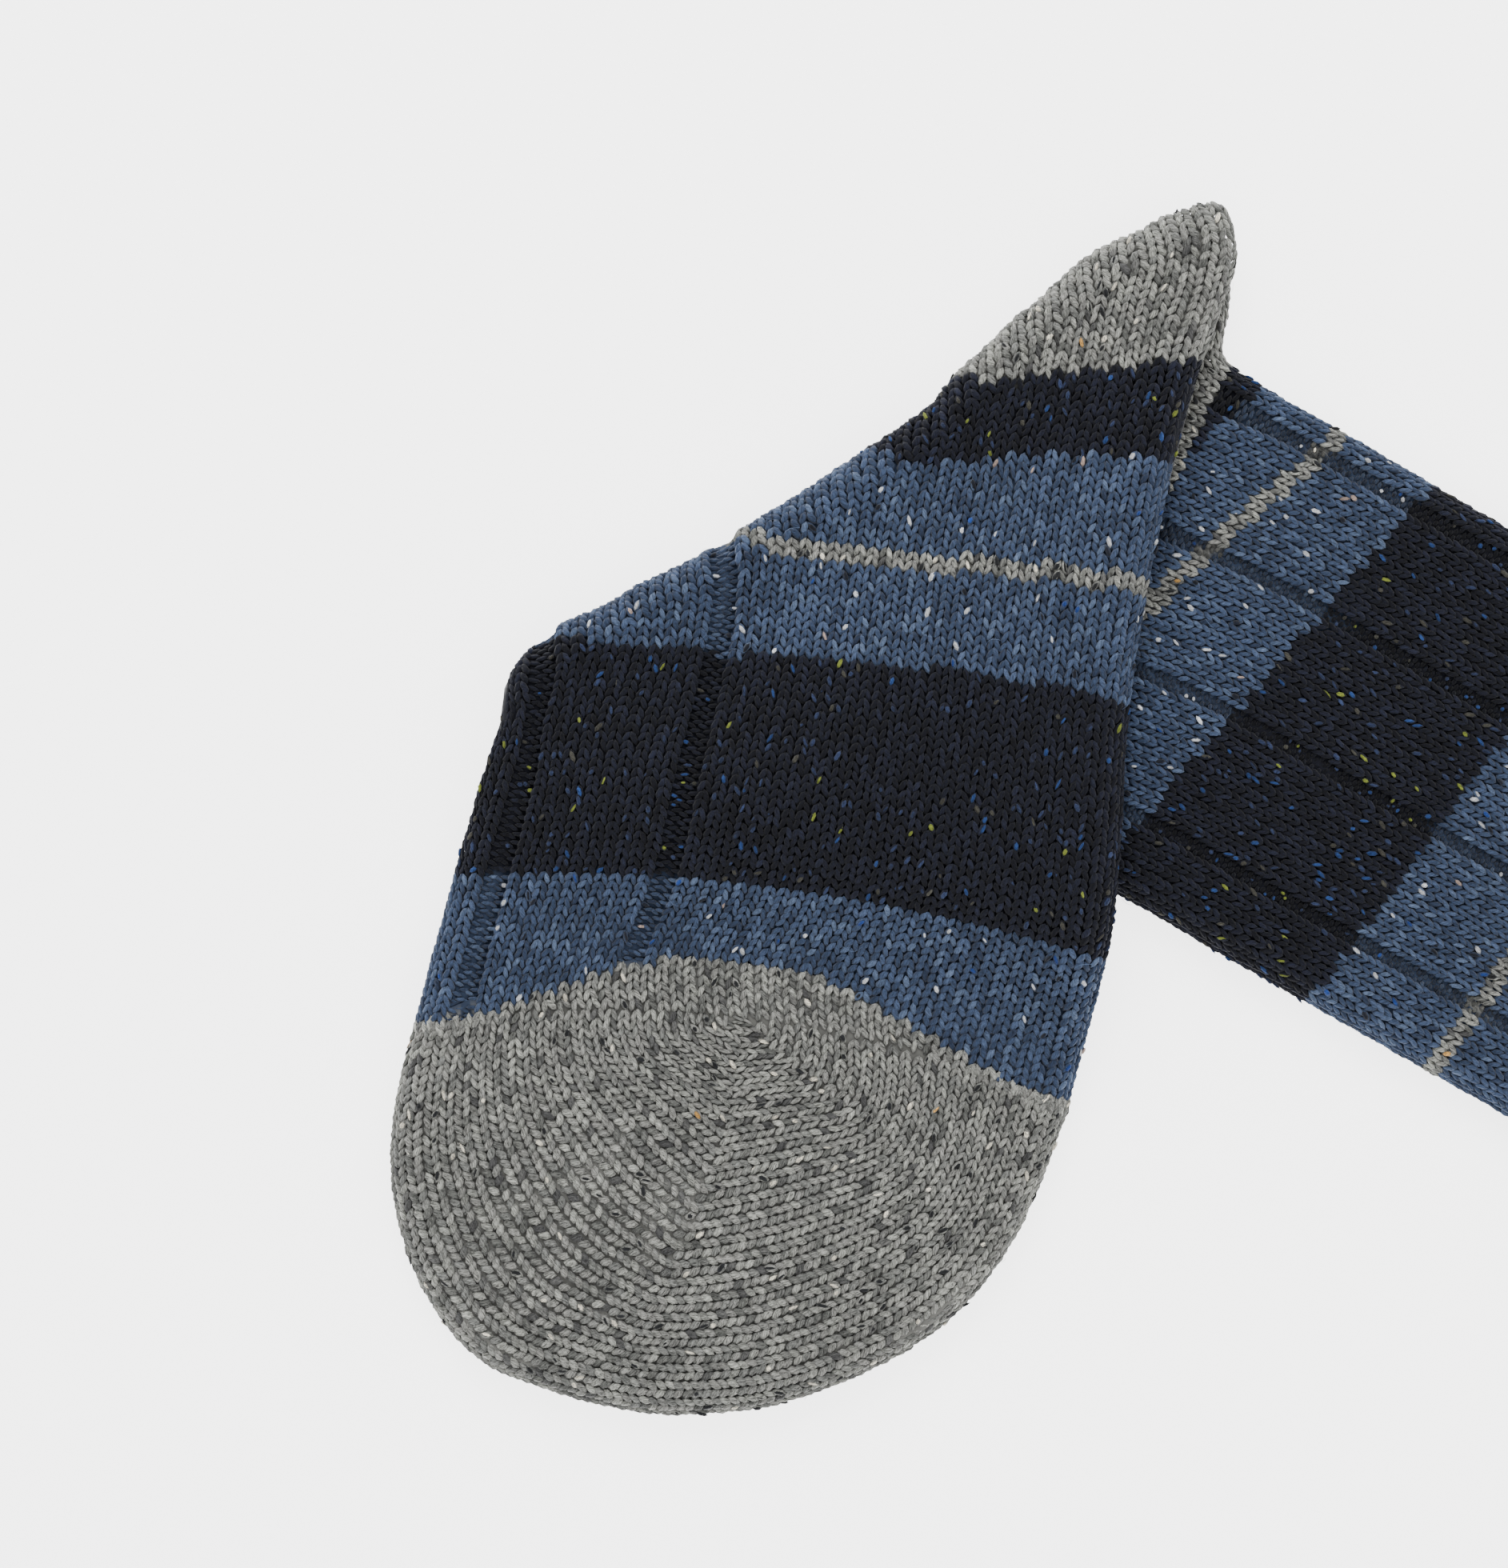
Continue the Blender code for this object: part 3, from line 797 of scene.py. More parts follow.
@dataclass
class ToeKnit:
    """The toe's knitting: wales that run as nested chevrons round the gore."""

    knitting: Knitting
    foot: FootKnit
    # The gore's line on the page, from where it starts down to the toe's rim.
    gore: tuple = (
        (927, 1273), (917, 1330), (905, 1400), (882, 1490), (857, 1590), (832, 1690), (812, 1767),
    )
    # The toe's outline on the page, from the instep side round the tip to the sole side.
    outline: tuple = (
        (519, 1280), (502, 1345), (492, 1405), (489, 1465), (498, 1525), (514, 1580),
        (540, 1632), (570, 1673), (604, 1703), (640, 1722), (700, 1743), (760, 1759),
        (820, 1768), (880, 1768), (940, 1763), (1000, 1748), (1060, 1726), (1120, 1697),
        (1160, 1671), (1196, 1641), (1232, 1602), (1266, 1552), (1290, 1503), (1308, 1460),
        (1320, 1425), (1329, 1402), (1336, 1380),
    )
    loops: int = 26
    # How far a loop's ends drop below its first and last stitch, in page pixels a loop,
    # and how much the sole side leans in while it drops.
    left_drop: float = 3.8
    right_drop: float = 7.6
    right_lean: float = 0.02
    # How far from its corners a loop is straight again, as a share of each side.
    corner: float = 0.12
    left_end: float = 0.6
    right_end: float = 0.4
    # Where the chevrons start to turn into the rim's own curve, and over what share.
    round_start: float = 0.30
    round_length: float = 0.66
    # The share of a loop over which its ends are drawn to the foot's stitches.
    joining: float = 0.15
    # How finely the faces are worked out, between loops and along them, and how small the
    # loop at the gore's start is.
    fine: int = 4
    steps: int = 240
    least_loop: float = 0.02
    follow_step: float = 0.004
    course_step: float = 0.012
    rim_points: int = 600
    loop_points: int = 400
    # How far before the rim's first angle a ray still counts as before it, in radians.
    turn_margin: float = 0.6

    def __post_init__(self) -> None:
        """Works out the rim's reach from the gore's start, and both faces' points."""
        rim_places = np.linspace(0, len(self.outline) - 1, self.rim_points)
        self.page_rim = spline(np.array(self.outline, float), rim_places)
        self.page_centre = np.array(self.gore[0], float)
        ray = self.page_rim - self.page_centre
        angle = np.unwrap(np.arctan2(ray[:, 1], ray[:, 0]))
        self.rim_angle, self.rim_reach = angle, np.linalg.norm(ray, axis=1)
        if angle[0] > angle[-1]:
            self.rim_angle, self.rim_reach = angle[::-1], self.rim_reach[::-1]
        self.grids = {side: self.grid(side) for side in (1.0, -1.0)}

    def loop_on_page(self, loop: float) -> np.ndarray:
        """One wale's course on the page, before the rim's curve is allowed for.

        Args:
            loop: The wale's number from the gore, 0 to the last loop's.

        Returns:
            Page points at even shares of the course.
        """
        r = loop / self.loops
        gore = np.array(self.gore, float)
        vertex = spline(gore, np.array([r * (len(gore) - 1)]))[0]
        left, right = self.page_rim[0], self.page_rim[-1]
        first = mix(self.page_centre, left, r)
        final = mix(self.page_centre, right, r)
        elbow = first + (0.0, self.left_drop * loop)
        wrist = final + (-self.right_lean * self.right_drop * loop, self.right_drop * loop)
        sides = (self.corner, 0.5, 1 - self.corner)
        corners = np.array([first, mix(first, elbow, self.left_end),
                            *(mix(elbow, vertex, share) for share in sides), vertex,
                            *(mix(vertex, wrist, share) for share in sides),
                            mix(wrist, final, self.right_end), final])
        bent = self.evened(spline(corners, np.linspace(0, len(corners) - 1, self.loop_points)))
        curved = self.evened(self.page_centre + (self.page_rim - self.page_centre) * r)
        weight = float(smooth(np.array((r - self.round_start) / self.round_length)))
        return mix(bent, curved, weight)

    def evened(self, points: np.ndarray) -> np.ndarray:
        """The same course with its points at even distances."""
        run = np.concatenate([[0.0], np.cumsum(np.linalg.norm(np.diff(points, axis=0), axis=1))])
        at = np.linspace(0, run[-1], self.steps + 1)
        return np.stack([np.interp(at, run, points[:, k]) for k in (0, 1)], axis=1)

    def grid(self, side: float) -> np.ndarray:
        """Surface points for fine steps of loops and of shares along them.

        Args:
            side: 1 for the upper face and -1 for the lower one.

        Returns:
            Points by loop and step.
        """
        form = self.knitting.form
        scale = PAGE_MM_PER_PIXEL * MM
        rows = []
        shares = np.linspace(0, 1, self.steps + 1)
        middle = form.wales / 4
        for k in range(self.loops * self.fine + 1):
            loop = max(k / self.fine, self.least_loop)
            page = self.loop_on_page(loop)
            ray = page - self.page_centre
            angle = np.arctan2(ray[:, 1], ray[:, 0])
            behind = angle < self.rim_angle[0] - self.turn_margin
            angle = np.where(behind, angle + 2 * math.pi, angle)
            reach = np.interp(angle, self.rim_angle, self.rim_reach)
            share = np.clip(np.linalg.norm(ray, axis=1) / reach, 0, 1)
            reach_m = reach * scale
            arc = (1 - share) * (reach_m - form.edge + form.quarter)
            turn = np.clip(arc / form.quarter, 0, 1) * math.pi / 2
            inward = np.where(arc < form.quarter, form.edge * (1 - np.cos(turn)),
                              form.edge + arc - form.quarter)
            unit = ray / np.maximum(np.linalg.norm(ray, axis=1, keepdims=True), 1e-6)
            ground = from_page(self.page_centre + unit * (reach - inward / scale)[:, None])
            points = form.laid(ground, side * np.sin(turn), np.zeros(len(arc)))
            ends = []
            for sign in (-1.0, 1.0):
                wale = middle + sign * loop * middle / self.loops
                wale = wale if side > 0 else form.wales - wale
                ends.append(self.foot.surface(np.array([wale]), np.array([0.0]))[0])
            start, end = ends[0] - points[0], ends[1] - points[-1]
            points = points + start * smooth(1 - shares / self.joining)[:, None]
            points = points + end * smooth(1 - (1 - shares) / self.joining)[:, None]
            rows.append(points)
        return np.array(rows)

    def surface_of(self, side: float) -> Callable:
        """The toe's upper or lower face, by loop number and place along the loop."""
        table = self.grids[side]

        def surface(loop: np.ndarray, t: np.ndarray) -> np.ndarray:
            """Points of that face."""
            a = np.clip(loop * self.fine, 0, table.shape[0] - 1.001)
            b = np.clip(t * self.steps, 0, table.shape[1] - 1.001)
            i, j = a.astype(int), b.astype(int)
            u, v = (a - i)[..., None], (b - j)[..., None]
            near = mix(table[i, j], table[i + 1, j], u)
            far = mix(table[i, j + 1], table[i + 1, j + 1], u)
            return mix(near, far, v)

        return surface

    def stitches(self) -> Stitches:
        """All the stitches of the toe below the gore's start."""
        parts = []
        for side in (1.0, -1.0):
            surface = self.surface_of(side)
            loops = np.arange(self.loops) + 0.5
            w, t = self.knitting.follow(surface, loops, np.zeros(self.loops), 0.0, 1.0,
                                        self.follow_step)
            place, across, course = self.knitting.frames(surface, w, t, self.course_step)
            count = len(w)
            parts.append(Stitches(place, across * side, course, np.zeros(count, bool),
                                  np.full(count, Yarn.GREY.code), np.full(count, Zone.TOE.code),
                                  np.full(count, side > 0)))
        return Stitches.joined(parts)


@dataclass
class LegKnit:
    """The leg's and the cuff's knitting, along +X from the fold to the mouth."""

    knitting: Knitting
    # Columns: front edge (along, across), heel edge (along, across), shares of the width.
    rows: tuple = (
        (-0.600, -0.705, 0.050, 0.690), (-0.565, -0.697, 0.059, 0.670),
        (-0.343, -0.645, 0.104, 0.588), (-0.100, -0.595, 0.141, 0.509),
        (0.177, -0.543, 0.260, 0.498), (0.459, -0.500, 0.442, 0.500),
    )
    straight_rows: int = 6
    # Course lines, which slant a little: places along the leg at its front edge and at its
    # heel edge, in millimetres. The courses are counted from the datum.
    datum: tuple[float, float] = (112.5, 121.5)
    stripes: tuple = ((7.0, 38.5), datum, (193.5, 196.0))
    heel_end: tuple[float, float] = (18.6, 14.8)
    cuff_start: tuple[float, float] = (207.0, 207.0)
    # Where the navy band at the fold ends on the sole side.
    fold_band: tuple[float, float] = (-9.0, 21.6)
    # Where the leg's colour changes after the blue at its start, and to which yarn.
    bands: tuple = (
        ((39.5, 58.5), Yarn.NAVY), ((86.5, 98.0), Yarn.BLUE), ((131.0, 139.0), Yarn.NAVY),
        ((176.0, 181.0), Yarn.BLUE), (cuff_start, Yarn.GREY),
    )
    heel_inset: float = 2.0 * MM
    # Where the rib starts on the sole side, and how soon it has its full depth.
    rib_start: float = 14.0 * MM
    rib_fade: float = 12.0 * MM
    # The foot's edge over the leg, as millimetres across and along it, and how far under
    # it the leg's upper stitches still go.
    foot_edge: tuple = ((-60.0, 52.0), (-48.2, 43.3), (2.9, 20.7), (44.3, 11.5), (60.0, 9.0))
    hidden_margin: float = 12.0
    search_rows: int = 400

    def __post_init__(self) -> None:
        """Lays out the rows to the cuff's mouth."""
        form = self.knitting.form
        rows = [np.array(r) * form.leg_width for r in self.rows]
        end_half = form.cuff_width / 2
        neck = form.leg_length - form.cuff_length
        start = rows[-1][0]
        for k in range(1, self.straight_rows + 1):
            share = k / self.straight_rows
            x = mix(start, neck, share)
            half = mix(form.leg_width / 2, end_half, share)
            rows.append(np.array([x, -half, x, half]))
        rows.append(np.array([form.leg_length, -end_half, form.leg_length, end_half]))
        self.table = np.array(rows)

    def surface(self, w: np.ndarray, t: np.ndarray) -> np.ndarray:
        """Points of the leg's outer face at wales and row places."""
        form = self.knitting.form
        w = np.mod(w, form.wales)
        row = spline(self.table, t)
        left, right = row[..., 0:2], row[..., 2:4]
        width = np.linalg.norm(right - left, axis=-1)
        far = mix(left[..., 0], right[..., 0], 0.5)
        ribbed = np.clip((far - self.rib_start) / self.rib_fade, 0, 1)
        inward, height = form.section(form.squeezed(w, ribbed), width)
        ground = mix(left, right, (inward / width)[..., None])
        return form.leg_laid(ground, height, form.groove(w, 1.0, ribbed))

    def line(self, y: np.ndarray, front: float, back: float) -> np.ndarray:
        """Where a slanting course crosses the leg.

        Args:
            y: Distances across the leg, in metres.
            front: The course's place along the leg's front edge, in millimetres.
            back: Its place along the heel edge.

        Returns:
            Distances along the leg, in metres.
        """
        half = self.knitting.form.leg_width / 2
        return mix(front, back, (y + half) / (2 * half)) * MM

    def stitches(self) -> Stitches:
        """All the stitches of the leg and the cuff."""
        form = self.knitting.form
        wales = np.arange(form.wales) + 0.5
        rows = np.linspace(0, len(self.table) - 1, self.search_rows)
        ww, tt = np.meshgrid(wales, rows, indexing="ij")
        points = self.surface(ww, tt)
        past = points[..., 0] - self.line(points[..., 1], *self.datum)
        datum = rows[np.argmax(past > 0, axis=1)]
        w, t = self.knitting.follow(self.surface, wales, datum, 0.0, len(self.table) - 1.0)
        place, across, course = self.knitting.frames(self.surface, w, t)
        x, y = place[:, 0], place[:, 1]
        yarn = np.full(len(w), Yarn.BLUE.code)
        for start, band in self.bands:
            yarn[x >= self.line(y, *start)] = band.code
        for stripe in self.stripes:
            on_line = np.abs(x - self.line(y, *stripe)) < self.knitting.course_pitch
            yarn[on_line] = Yarn.GREY.code
        heel_line = self.line(y, *self.heel_end)
        sole = form.on_sole(w)
        yarn[(x > heel_line) & (x < self.line(y, *self.fold_band)) & sole] = Yarn.NAVY.code
        heel = (x < heel_line) & sole & (y > self.heel_inset)
        yarn[heel] = Yarn.GREY.code
        cuff = x >= self.line(y, *self.cuff_start)
        zone = np.where(cuff, Zone.CUFF.code, np.where(heel, Zone.HEEL.code, Zone.LEG.code))
        purl = form.sunk(w) & ~heel
        # The leg is folded over, so the second half of its wales faces up.
        top = w > form.wales / 2
        edge = np.interp(y / MM, [p[0] for p in self.foot_edge], [p[1] for p in self.foot_edge])
        keep = ~(top & (x < (edge - self.hidden_margin) * MM))
        return Stitches(place[keep], across[keep], course[keep], purl[keep], yarn[keep],
                        zone[keep], top[keep])


@dataclass
class StitchMaker:
    """Turns stitch places into yarn: plump legs instanced by a node tree and realized.

    Shares are of a column's width or of a course's height, as each line says.
    """

    # A plain leg's half width, of the column, and its half length, of the course.
    width_share: float = 0.235
    length_share: float = 0.84
    most_width: float = 0.50
    flatness: float = 0.95
    # How far a leg's middle lies from the column's or the course's middle.
    off_middle: float = 0.25
    # The spindle's sides and rings for the upper and the lower face, and how blunt it is.
    upper_spindle: tuple[int, tuple[float, ...]] = (5, (-0.45, 0.45))
    lower_spindle: tuple[int, tuple[float, ...]] = (4, (0.0,))
    bluntness: float = 0.75
    # How far the two legs open towards the leg of the sock, and stand off the cloth.
    opening: float = 0.28
    tilt: float = math.radians(13.0)
    rise: float = 0.12
    # A cross bump's half thickness, of the course, and its half length, of the column.
    bump_thick: float = 0.27
    bump_long: float = 0.52
    purl_lean: float = 0.2
    purl_sink: float = 0.1
    # The sunk columns' tints are darkened by these shares, on the foot and on the leg, as painted shade
    # of the ribs beside them.
    foot_purl_shade: float = 0.78
    leg_purl_shade: float = 0.42
    # How far chance moves and leans each leg, and the range of its sizes.
    lean_spread: float = 0.06
    place_spread: float = 0.045
    widths: tuple[float, float] = (0.93, 1.09)
    lengths: tuple[float, float] = (0.94, 1.08)
    # A fleck's thickness in metres, its length as a share of its leg's, and its spread.
    nep_thick: tuple[float, float] = (0.26 * MM, 0.52 * MM)
    nep_lengths: tuple[float, float] = (0.42, 0.85)
    nep_flatness: float = 0.8
    nep_lift: float = 0.72
    nep_off: float = 0.10 * MM
    nep_turn: float = 0.12
    seed: int = 11

    def template(self, sides: int, rings: tuple[float, ...]) -> bpy.types.Object:
        """One spindle of yarn, a unit long either way and a unit in radius.

        Args:
            sides: Sides of its section.
            rings: Where its rings lie, from -1 to 1.

        Returns:
            The spindle as an object that isn't shown.
        """
        build = bmesh.new()
        first = build.verts.new((0, -1, 0))
        loops = []
        for place in rings:
            size = math.sqrt(1 - place * place) ** self.bluntness
            loops.append([build.verts.new((size * math.cos(a), place, size * math.sin(a)))
                          for a in (2 * math.pi * (k + 0.5) / sides for k in range(sides))])
        final = build.verts.new((0, 1, 0))
        for k in range(sides):
            n = (k + 1) % sides
            build.faces.new((first, loops[0][k], loops[0][n]))
            build.faces.new((final, loops[-1][n], loops[-1][k]))
            for a, b in zip(loops, loops[1:]):
                build.faces.new((a[k], b[k], b[n], a[n]))
        bmesh.ops.recalc_face_normals(build, faces=build.faces)
        mesh = bpy.data.meshes.new("yarn_leg")
        build.to_mesh(mesh)
        build.free()
        mesh.shade_smooth()
        layer = mesh.attributes.new("local", "FLOAT_VECTOR", "POINT")
        layer.data.foreach_set("vector", np.array([v.co for v in mesh.vertices], np.float32).ravel())
        return bpy.data.objects.new("yarn_leg", mesh)

    def tree(self) -> bpy.types.NodeTree:
        """The node tree that lays a yarn leg at each point and realizes them all."""
        tree = bpy.data.node_groups.new("lay_stitches", "GeometryNodeTree")
        face = tree.interface
        face.new_socket("Geometry", in_out="INPUT", socket_type="NodeSocketGeometry")
        face.new_socket("Yarn leg", in_out="INPUT", socket_type="NodeSocketObject")
        face.new_socket("Yarn", in_out="INPUT", socket_type="NodeSocketMaterial")
        face.new_socket("Plumpness", in_out="INPUT", socket_type="NodeSocketFloat")
        face.new_socket("Geometry", in_out="OUTPUT", socket_type="NodeSocketGeometry")
        start = add_node(tree, "NodeGroupInput")
        leg = add_node(tree, "GeometryNodeObjectInfo", {"Object": start.outputs["Yarn leg"]})
        turn = add_node(tree, "GeometryNodeInputNamedAttribute", {"Name": "turn"},
                        data_type="FLOAT_VECTOR")
        size = add_node(tree, "GeometryNodeInputNamedAttribute", {"Name": "size"},
                        data_type="FLOAT_VECTOR")
        rotation = add_node(tree, "FunctionNodeEulerToRotation", {0: turn.outputs[0]})
        scale = add_node(tree, "ShaderNodeVectorMath", {0: size.outputs[0]}, operation="SCALE")
        tree.links.new(start.outputs["Plumpness"], scale.inputs["Scale"])
        laid = add_node(tree, "GeometryNodeInstanceOnPoints", {
            "Points": start.outputs["Geometry"], "Instance": leg.outputs["Geometry"],
            "Rotation": rotation.outputs[0], "Scale": scale.outputs[0]})
        real = add_node(tree, "GeometryNodeRealizeInstances", {"Geometry": laid.outputs[0]})
        dressed = add_node(tree, "GeometryNodeSetMaterial", {
            "Geometry": real.outputs[0], "Material": start.outputs["Yarn"]})
        add_node(tree, "NodeGroupOutput", {"Geometry": dressed.outputs[0]})
        return tree

    def legs(self, stitches: Stitches, chosen: np.ndarray, tweed: Tweed, pitch: float,
             rng: np.random.Generator) -> dict[str, np.ndarray]:
        """Place, turn, size and tint of every yarn leg of the chosen stitches.

        Args:
            stitches: All the stitches.
            chosen: Which of them.
            tweed: Their yarn.
            pitch: The height of a course.
            rng: The seeded source of chance.

        Returns:
            Arrays by attribute name.
        """
        place = stitches.place[chosen]
        across = stitches.across[chosen]
        course = stitches.course[chosen]
        purl = stitches.purl[chosen]
        square = across - course * np.sum(across * course, axis=1, keepdims=True)
        width = np.linalg.norm(square, axis=1, keepdims=True)
        side = square / np.maximum(width, 1e-9)
        normal = np.cross(side, course)
        normal /= np.maximum(np.linalg.norm(normal, axis=1, keepdims=True), 1e-9)
        side = np.cross(course, normal)
        out = {"co": [], "turn": [], "size": []}
        thick = self.bump_thick * pitch
        for sign in (-1.0, 1.0):
            opening = np.arctan(width[:, 0] * self.opening / pitch)
            lean = sign * (opening + rng.normal(0, self.lean_spread, len(place)))
            lean = np.where(purl, sign * self.purl_lean + math.pi / 2, lean)
            tilt = np.where(purl, 0.0, self.tilt)[:, None]
            c, s = np.cos(lean)[:, None], np.sin(lean)[:, None]
            flat_y = course * c - side * s
            x_axis = side * c + course * s
            y_axis = flat_y * np.cos(tilt) + normal * np.sin(tilt)
            z_axis = normal * np.cos(tilt) - flat_y * np.sin(tilt)
            aside = place + side * (sign * self.off_middle * width)
            plain = aside + normal * (self.rise * pitch)
            bump = (aside + course * (sign * self.off_middle * pitch)
                    - normal * (self.purl_sink * pitch))
            middle = np.where(purl[:, None], bump, plain)
            middle = middle + rng.normal(0, self.place_spread * pitch, middle.shape)
            w = width[:, 0] * self.width_share * rng.uniform(*self.widths, len(place))
            w = np.minimum(w, self.most_width * pitch)
            length = pitch * self.length_share * rng.uniform(*self.lengths, len(place))
            size = np.stack([w, length, w * self.flatness], axis=1)
            size_purl = np.stack([np.full_like(w, thick), width[:, 0] * self.bump_long,
                                  np.full_like(w, thick)], axis=1)
            out["co"].append(middle)
            out["size"].append(np.where(purl[:, None], size_purl, size))
            out["turn"].append(self.euler(x_axis, y_axis, z_axis))
        arrays = {k: np.concatenate(v) for k, v in out.items()}
        arrays["tint"] = tweed.tints(len(arrays["co"]), rng)
        # The narrow grooves of the leg lie in their ribs' shade, which dulls their yarn.
        on_leg = stitches.zone[chosen] >= Zone.LEG.code
        shade = np.where(purl, np.where(on_leg, self.leg_purl_shade, self.foot_purl_shade), 1.0)
        arrays["tint"][:, :3] *= np.concatenate([shade, shade])[:, None]
        normals = np.concatenate([normal, normal])
        return self.with_neps(arrays, normals, tweed, rng)

    def with_neps(self, arrays: dict[str, np.ndarray], normals: np.ndarray, tweed: Tweed,
                  rng: np.random.Generator) -> dict[str, np.ndarray]:
        """Adds the coloured flecks of wool that stand on some of the legs.

        Args:
            arrays: The legs.
            normals: Which way is out at each leg.
            tweed: Their yarn.
            rng: The seeded source of chance.

        Returns:
            Arrays with the neps at their end.
        """
        chosen, tint = tweed.nep_tints(len(normals), rng)
        count = len(chosen)
        out = normals[chosen]
        size = arrays["size"][chosen]
        thick = rng.uniform(*self.nep_thick, count)
        long = size[:, 1] * rng.uniform(*self.nep_lengths, count)
        nep = np.stack([thick, long, thick * self.nep_flatness], axis=1)
        lift = out * (size[:, 2:3] * self.nep_lift) + rng.normal(0, self.nep_off, (count, 3))
        turn = arrays["turn"][chosen] + rng.normal(0, self.nep_turn, (count, 3))
        extra = {"co": arrays["co"][chosen] + lift, "turn": turn, "size": nep, "tint": tint}
        return {k: np.concatenate([arrays[k], extra[k]]) for k in arrays}

    @staticmethod
    def euler(x: np.ndarray, y: np.ndarray, z: np.ndarray) -> np.ndarray:
        """Euler angles of the turns whose columns are three unit axes."""
        pitch = np.arctan2(-x[:, 2], np.hypot(x[:, 0], x[:, 1]))
        roll = np.arctan2(y[:, 2], z[:, 2])
        return np.stack([roll, pitch, np.arctan2(x[:, 1], x[:, 0])], axis=1)

    def make(self, name: str, arrays: dict[str, np.ndarray], leg: bpy.types.Object,
             tree: bpy.types.NodeTree, material: bpy.types.Material) -> bpy.types.Object:
        """One piece of knitting as a plain mesh.

        Args:
            name: The piece's name.
            arrays: What legs() gave.
            leg: The spindle to lay.
            tree: The node tree.
            material: The yarn's material.

        Returns:
            The finished piece.
        """
        points = bpy.data.meshes.new(name + "_points")
        points.vertices.add(len(arrays["co"]))
        points.vertices.foreach_set("co", arrays["co"].astype(np.float32).ravel())
        layers = (("turn", "FLOAT_VECTOR", "vector"), ("size", "FLOAT_VECTOR", "vector"),
                  ("tint", "FLOAT_COLOR", "color"))
        for key, kind, access in layers:
            layer = points.attributes.new(key, kind, "POINT")
            layer.data.foreach_set(access, arrays[key].astype(np.float32).ravel())
        carrier = bpy.data.objects.new(name + "_points", points)
        bpy.context.scene.collection.objects.link(carrier)
        modifier = carrier.modifiers.new("Stitches", "NODES")
        modifier.node_group = tree
        values = {"Yarn leg": leg, "Yarn": material, "Plumpness": 1.0}
        for item in tree.interface.items_tree:
            if item.in_out == "INPUT" and item.name in values:
                modifier[item.identifier] = values[item.name]
        graph = bpy.context.evaluated_depsgraph_get()
        mesh = bpy.data.meshes.new_from_object(carrier.evaluated_get(graph),
                                               preserve_all_data_layers=True, depsgraph=graph)
        mesh.name = name
        bpy.data.objects.remove(carrier, do_unlink=True)
        bpy.data.meshes.remove(points)
        for spare in ("turn", "size"):
            if spare in mesh.attributes:
                mesh.attributes.remove(mesh.attributes[spare])
        piece = bpy.data.objects.new(name, mesh)
        bpy.context.scene.collection.objects.link(piece)
        return piece


@dataclass
class Ground:
    """The cloth behind the stitches: a finer copy of each knitted wall."""

    # How far the outer face lies under the stitches, on the ribs and in the sunk columns.
    sink: float = 0.55 * MM
    groove_sink: float = 0.85 * MM
    # What lies further from every stitch than this is the inner face.
    wall: float = 1.7 * MM
    longest_edge: float = 3.0 * MM
    passes: int = 4
    # A vertex is on a cut rim where the cosine between its normal and a face's is less.
    rim_turn: float = 0.80
    # Where the cloth turns over at its outline it sinks less, so no light shows through.
    edge_share: float = 0.25

    def make(self, node: str, frame_node: bpy.types.Object, places: KDTree, tints: np.ndarray,
             purl: np.ndarray, material: bpy.types.Material, close: np.ndarray) -> bpy.types.Object:
        """A copy of a wall, tinted by the stitches that lie on it.

        Args:
            node: The frame's node name.
            frame_node: Its object.
            places: Stitch places.
            tints: The tint of each stitch.
            purl: Whether each stitch is a sunk one.
            material: The cloth's material.
            close: How far its cut rim is drawn back along the ground, to close a slit.

        Returns:
            The piece.
        """
        build = bmesh.new()
        build.from_mesh(frame_node.data)
        bmesh.ops.remove_doubles(build, verts=build.verts, dist=1e-6)
        for _ in range(self.passes):
            long_edges = [e for e in build.edges if e.calc_length() > self.longest_edge]
            bmesh.ops.subdivide_edges(build, edges=long_edges, cuts=1, use_grid_fill=False)
            bmesh.ops.triangulate(build, faces=[f for f in build.faces if len(f.verts) > 3])
        build.normal_update()
        colours, moves = [], []
        for vertex in build.verts:
            _, index, distance = places.find(vertex.co)
            colours.append(tints[index])
            rim = any(face.normal.dot(vertex.normal) < self.rim_turn for face in vertex.link_faces)
            depth = self.groove_sink if purl[index] else self.sink
            depth *= mix(self.edge_share, 1.0, abs(vertex.normal.z)) if distance <= self.wall else 0.0
            moves.append(Vector((*close, 0.0)) if rim else vertex.normal * depth)
        for vertex, move in zip(build.verts, moves):
            vertex.co -= move
        mesh = bpy.data.meshes.new(node + "_cloth")
        build.to_mesh(mesh)
        build.free()
        mesh.shade_smooth()
        layer = mesh.attributes.new("tint", "FLOAT_COLOR", "POINT")
        layer.data.foreach_set("color", np.array(colours, np.float32).ravel())
        mesh.materials.clear()
        mesh.materials.append(material)
        piece = bpy.data.objects.new(node + "_cloth", mesh)
        bpy.context.scene.collection.objects.link(piece)
        return piece


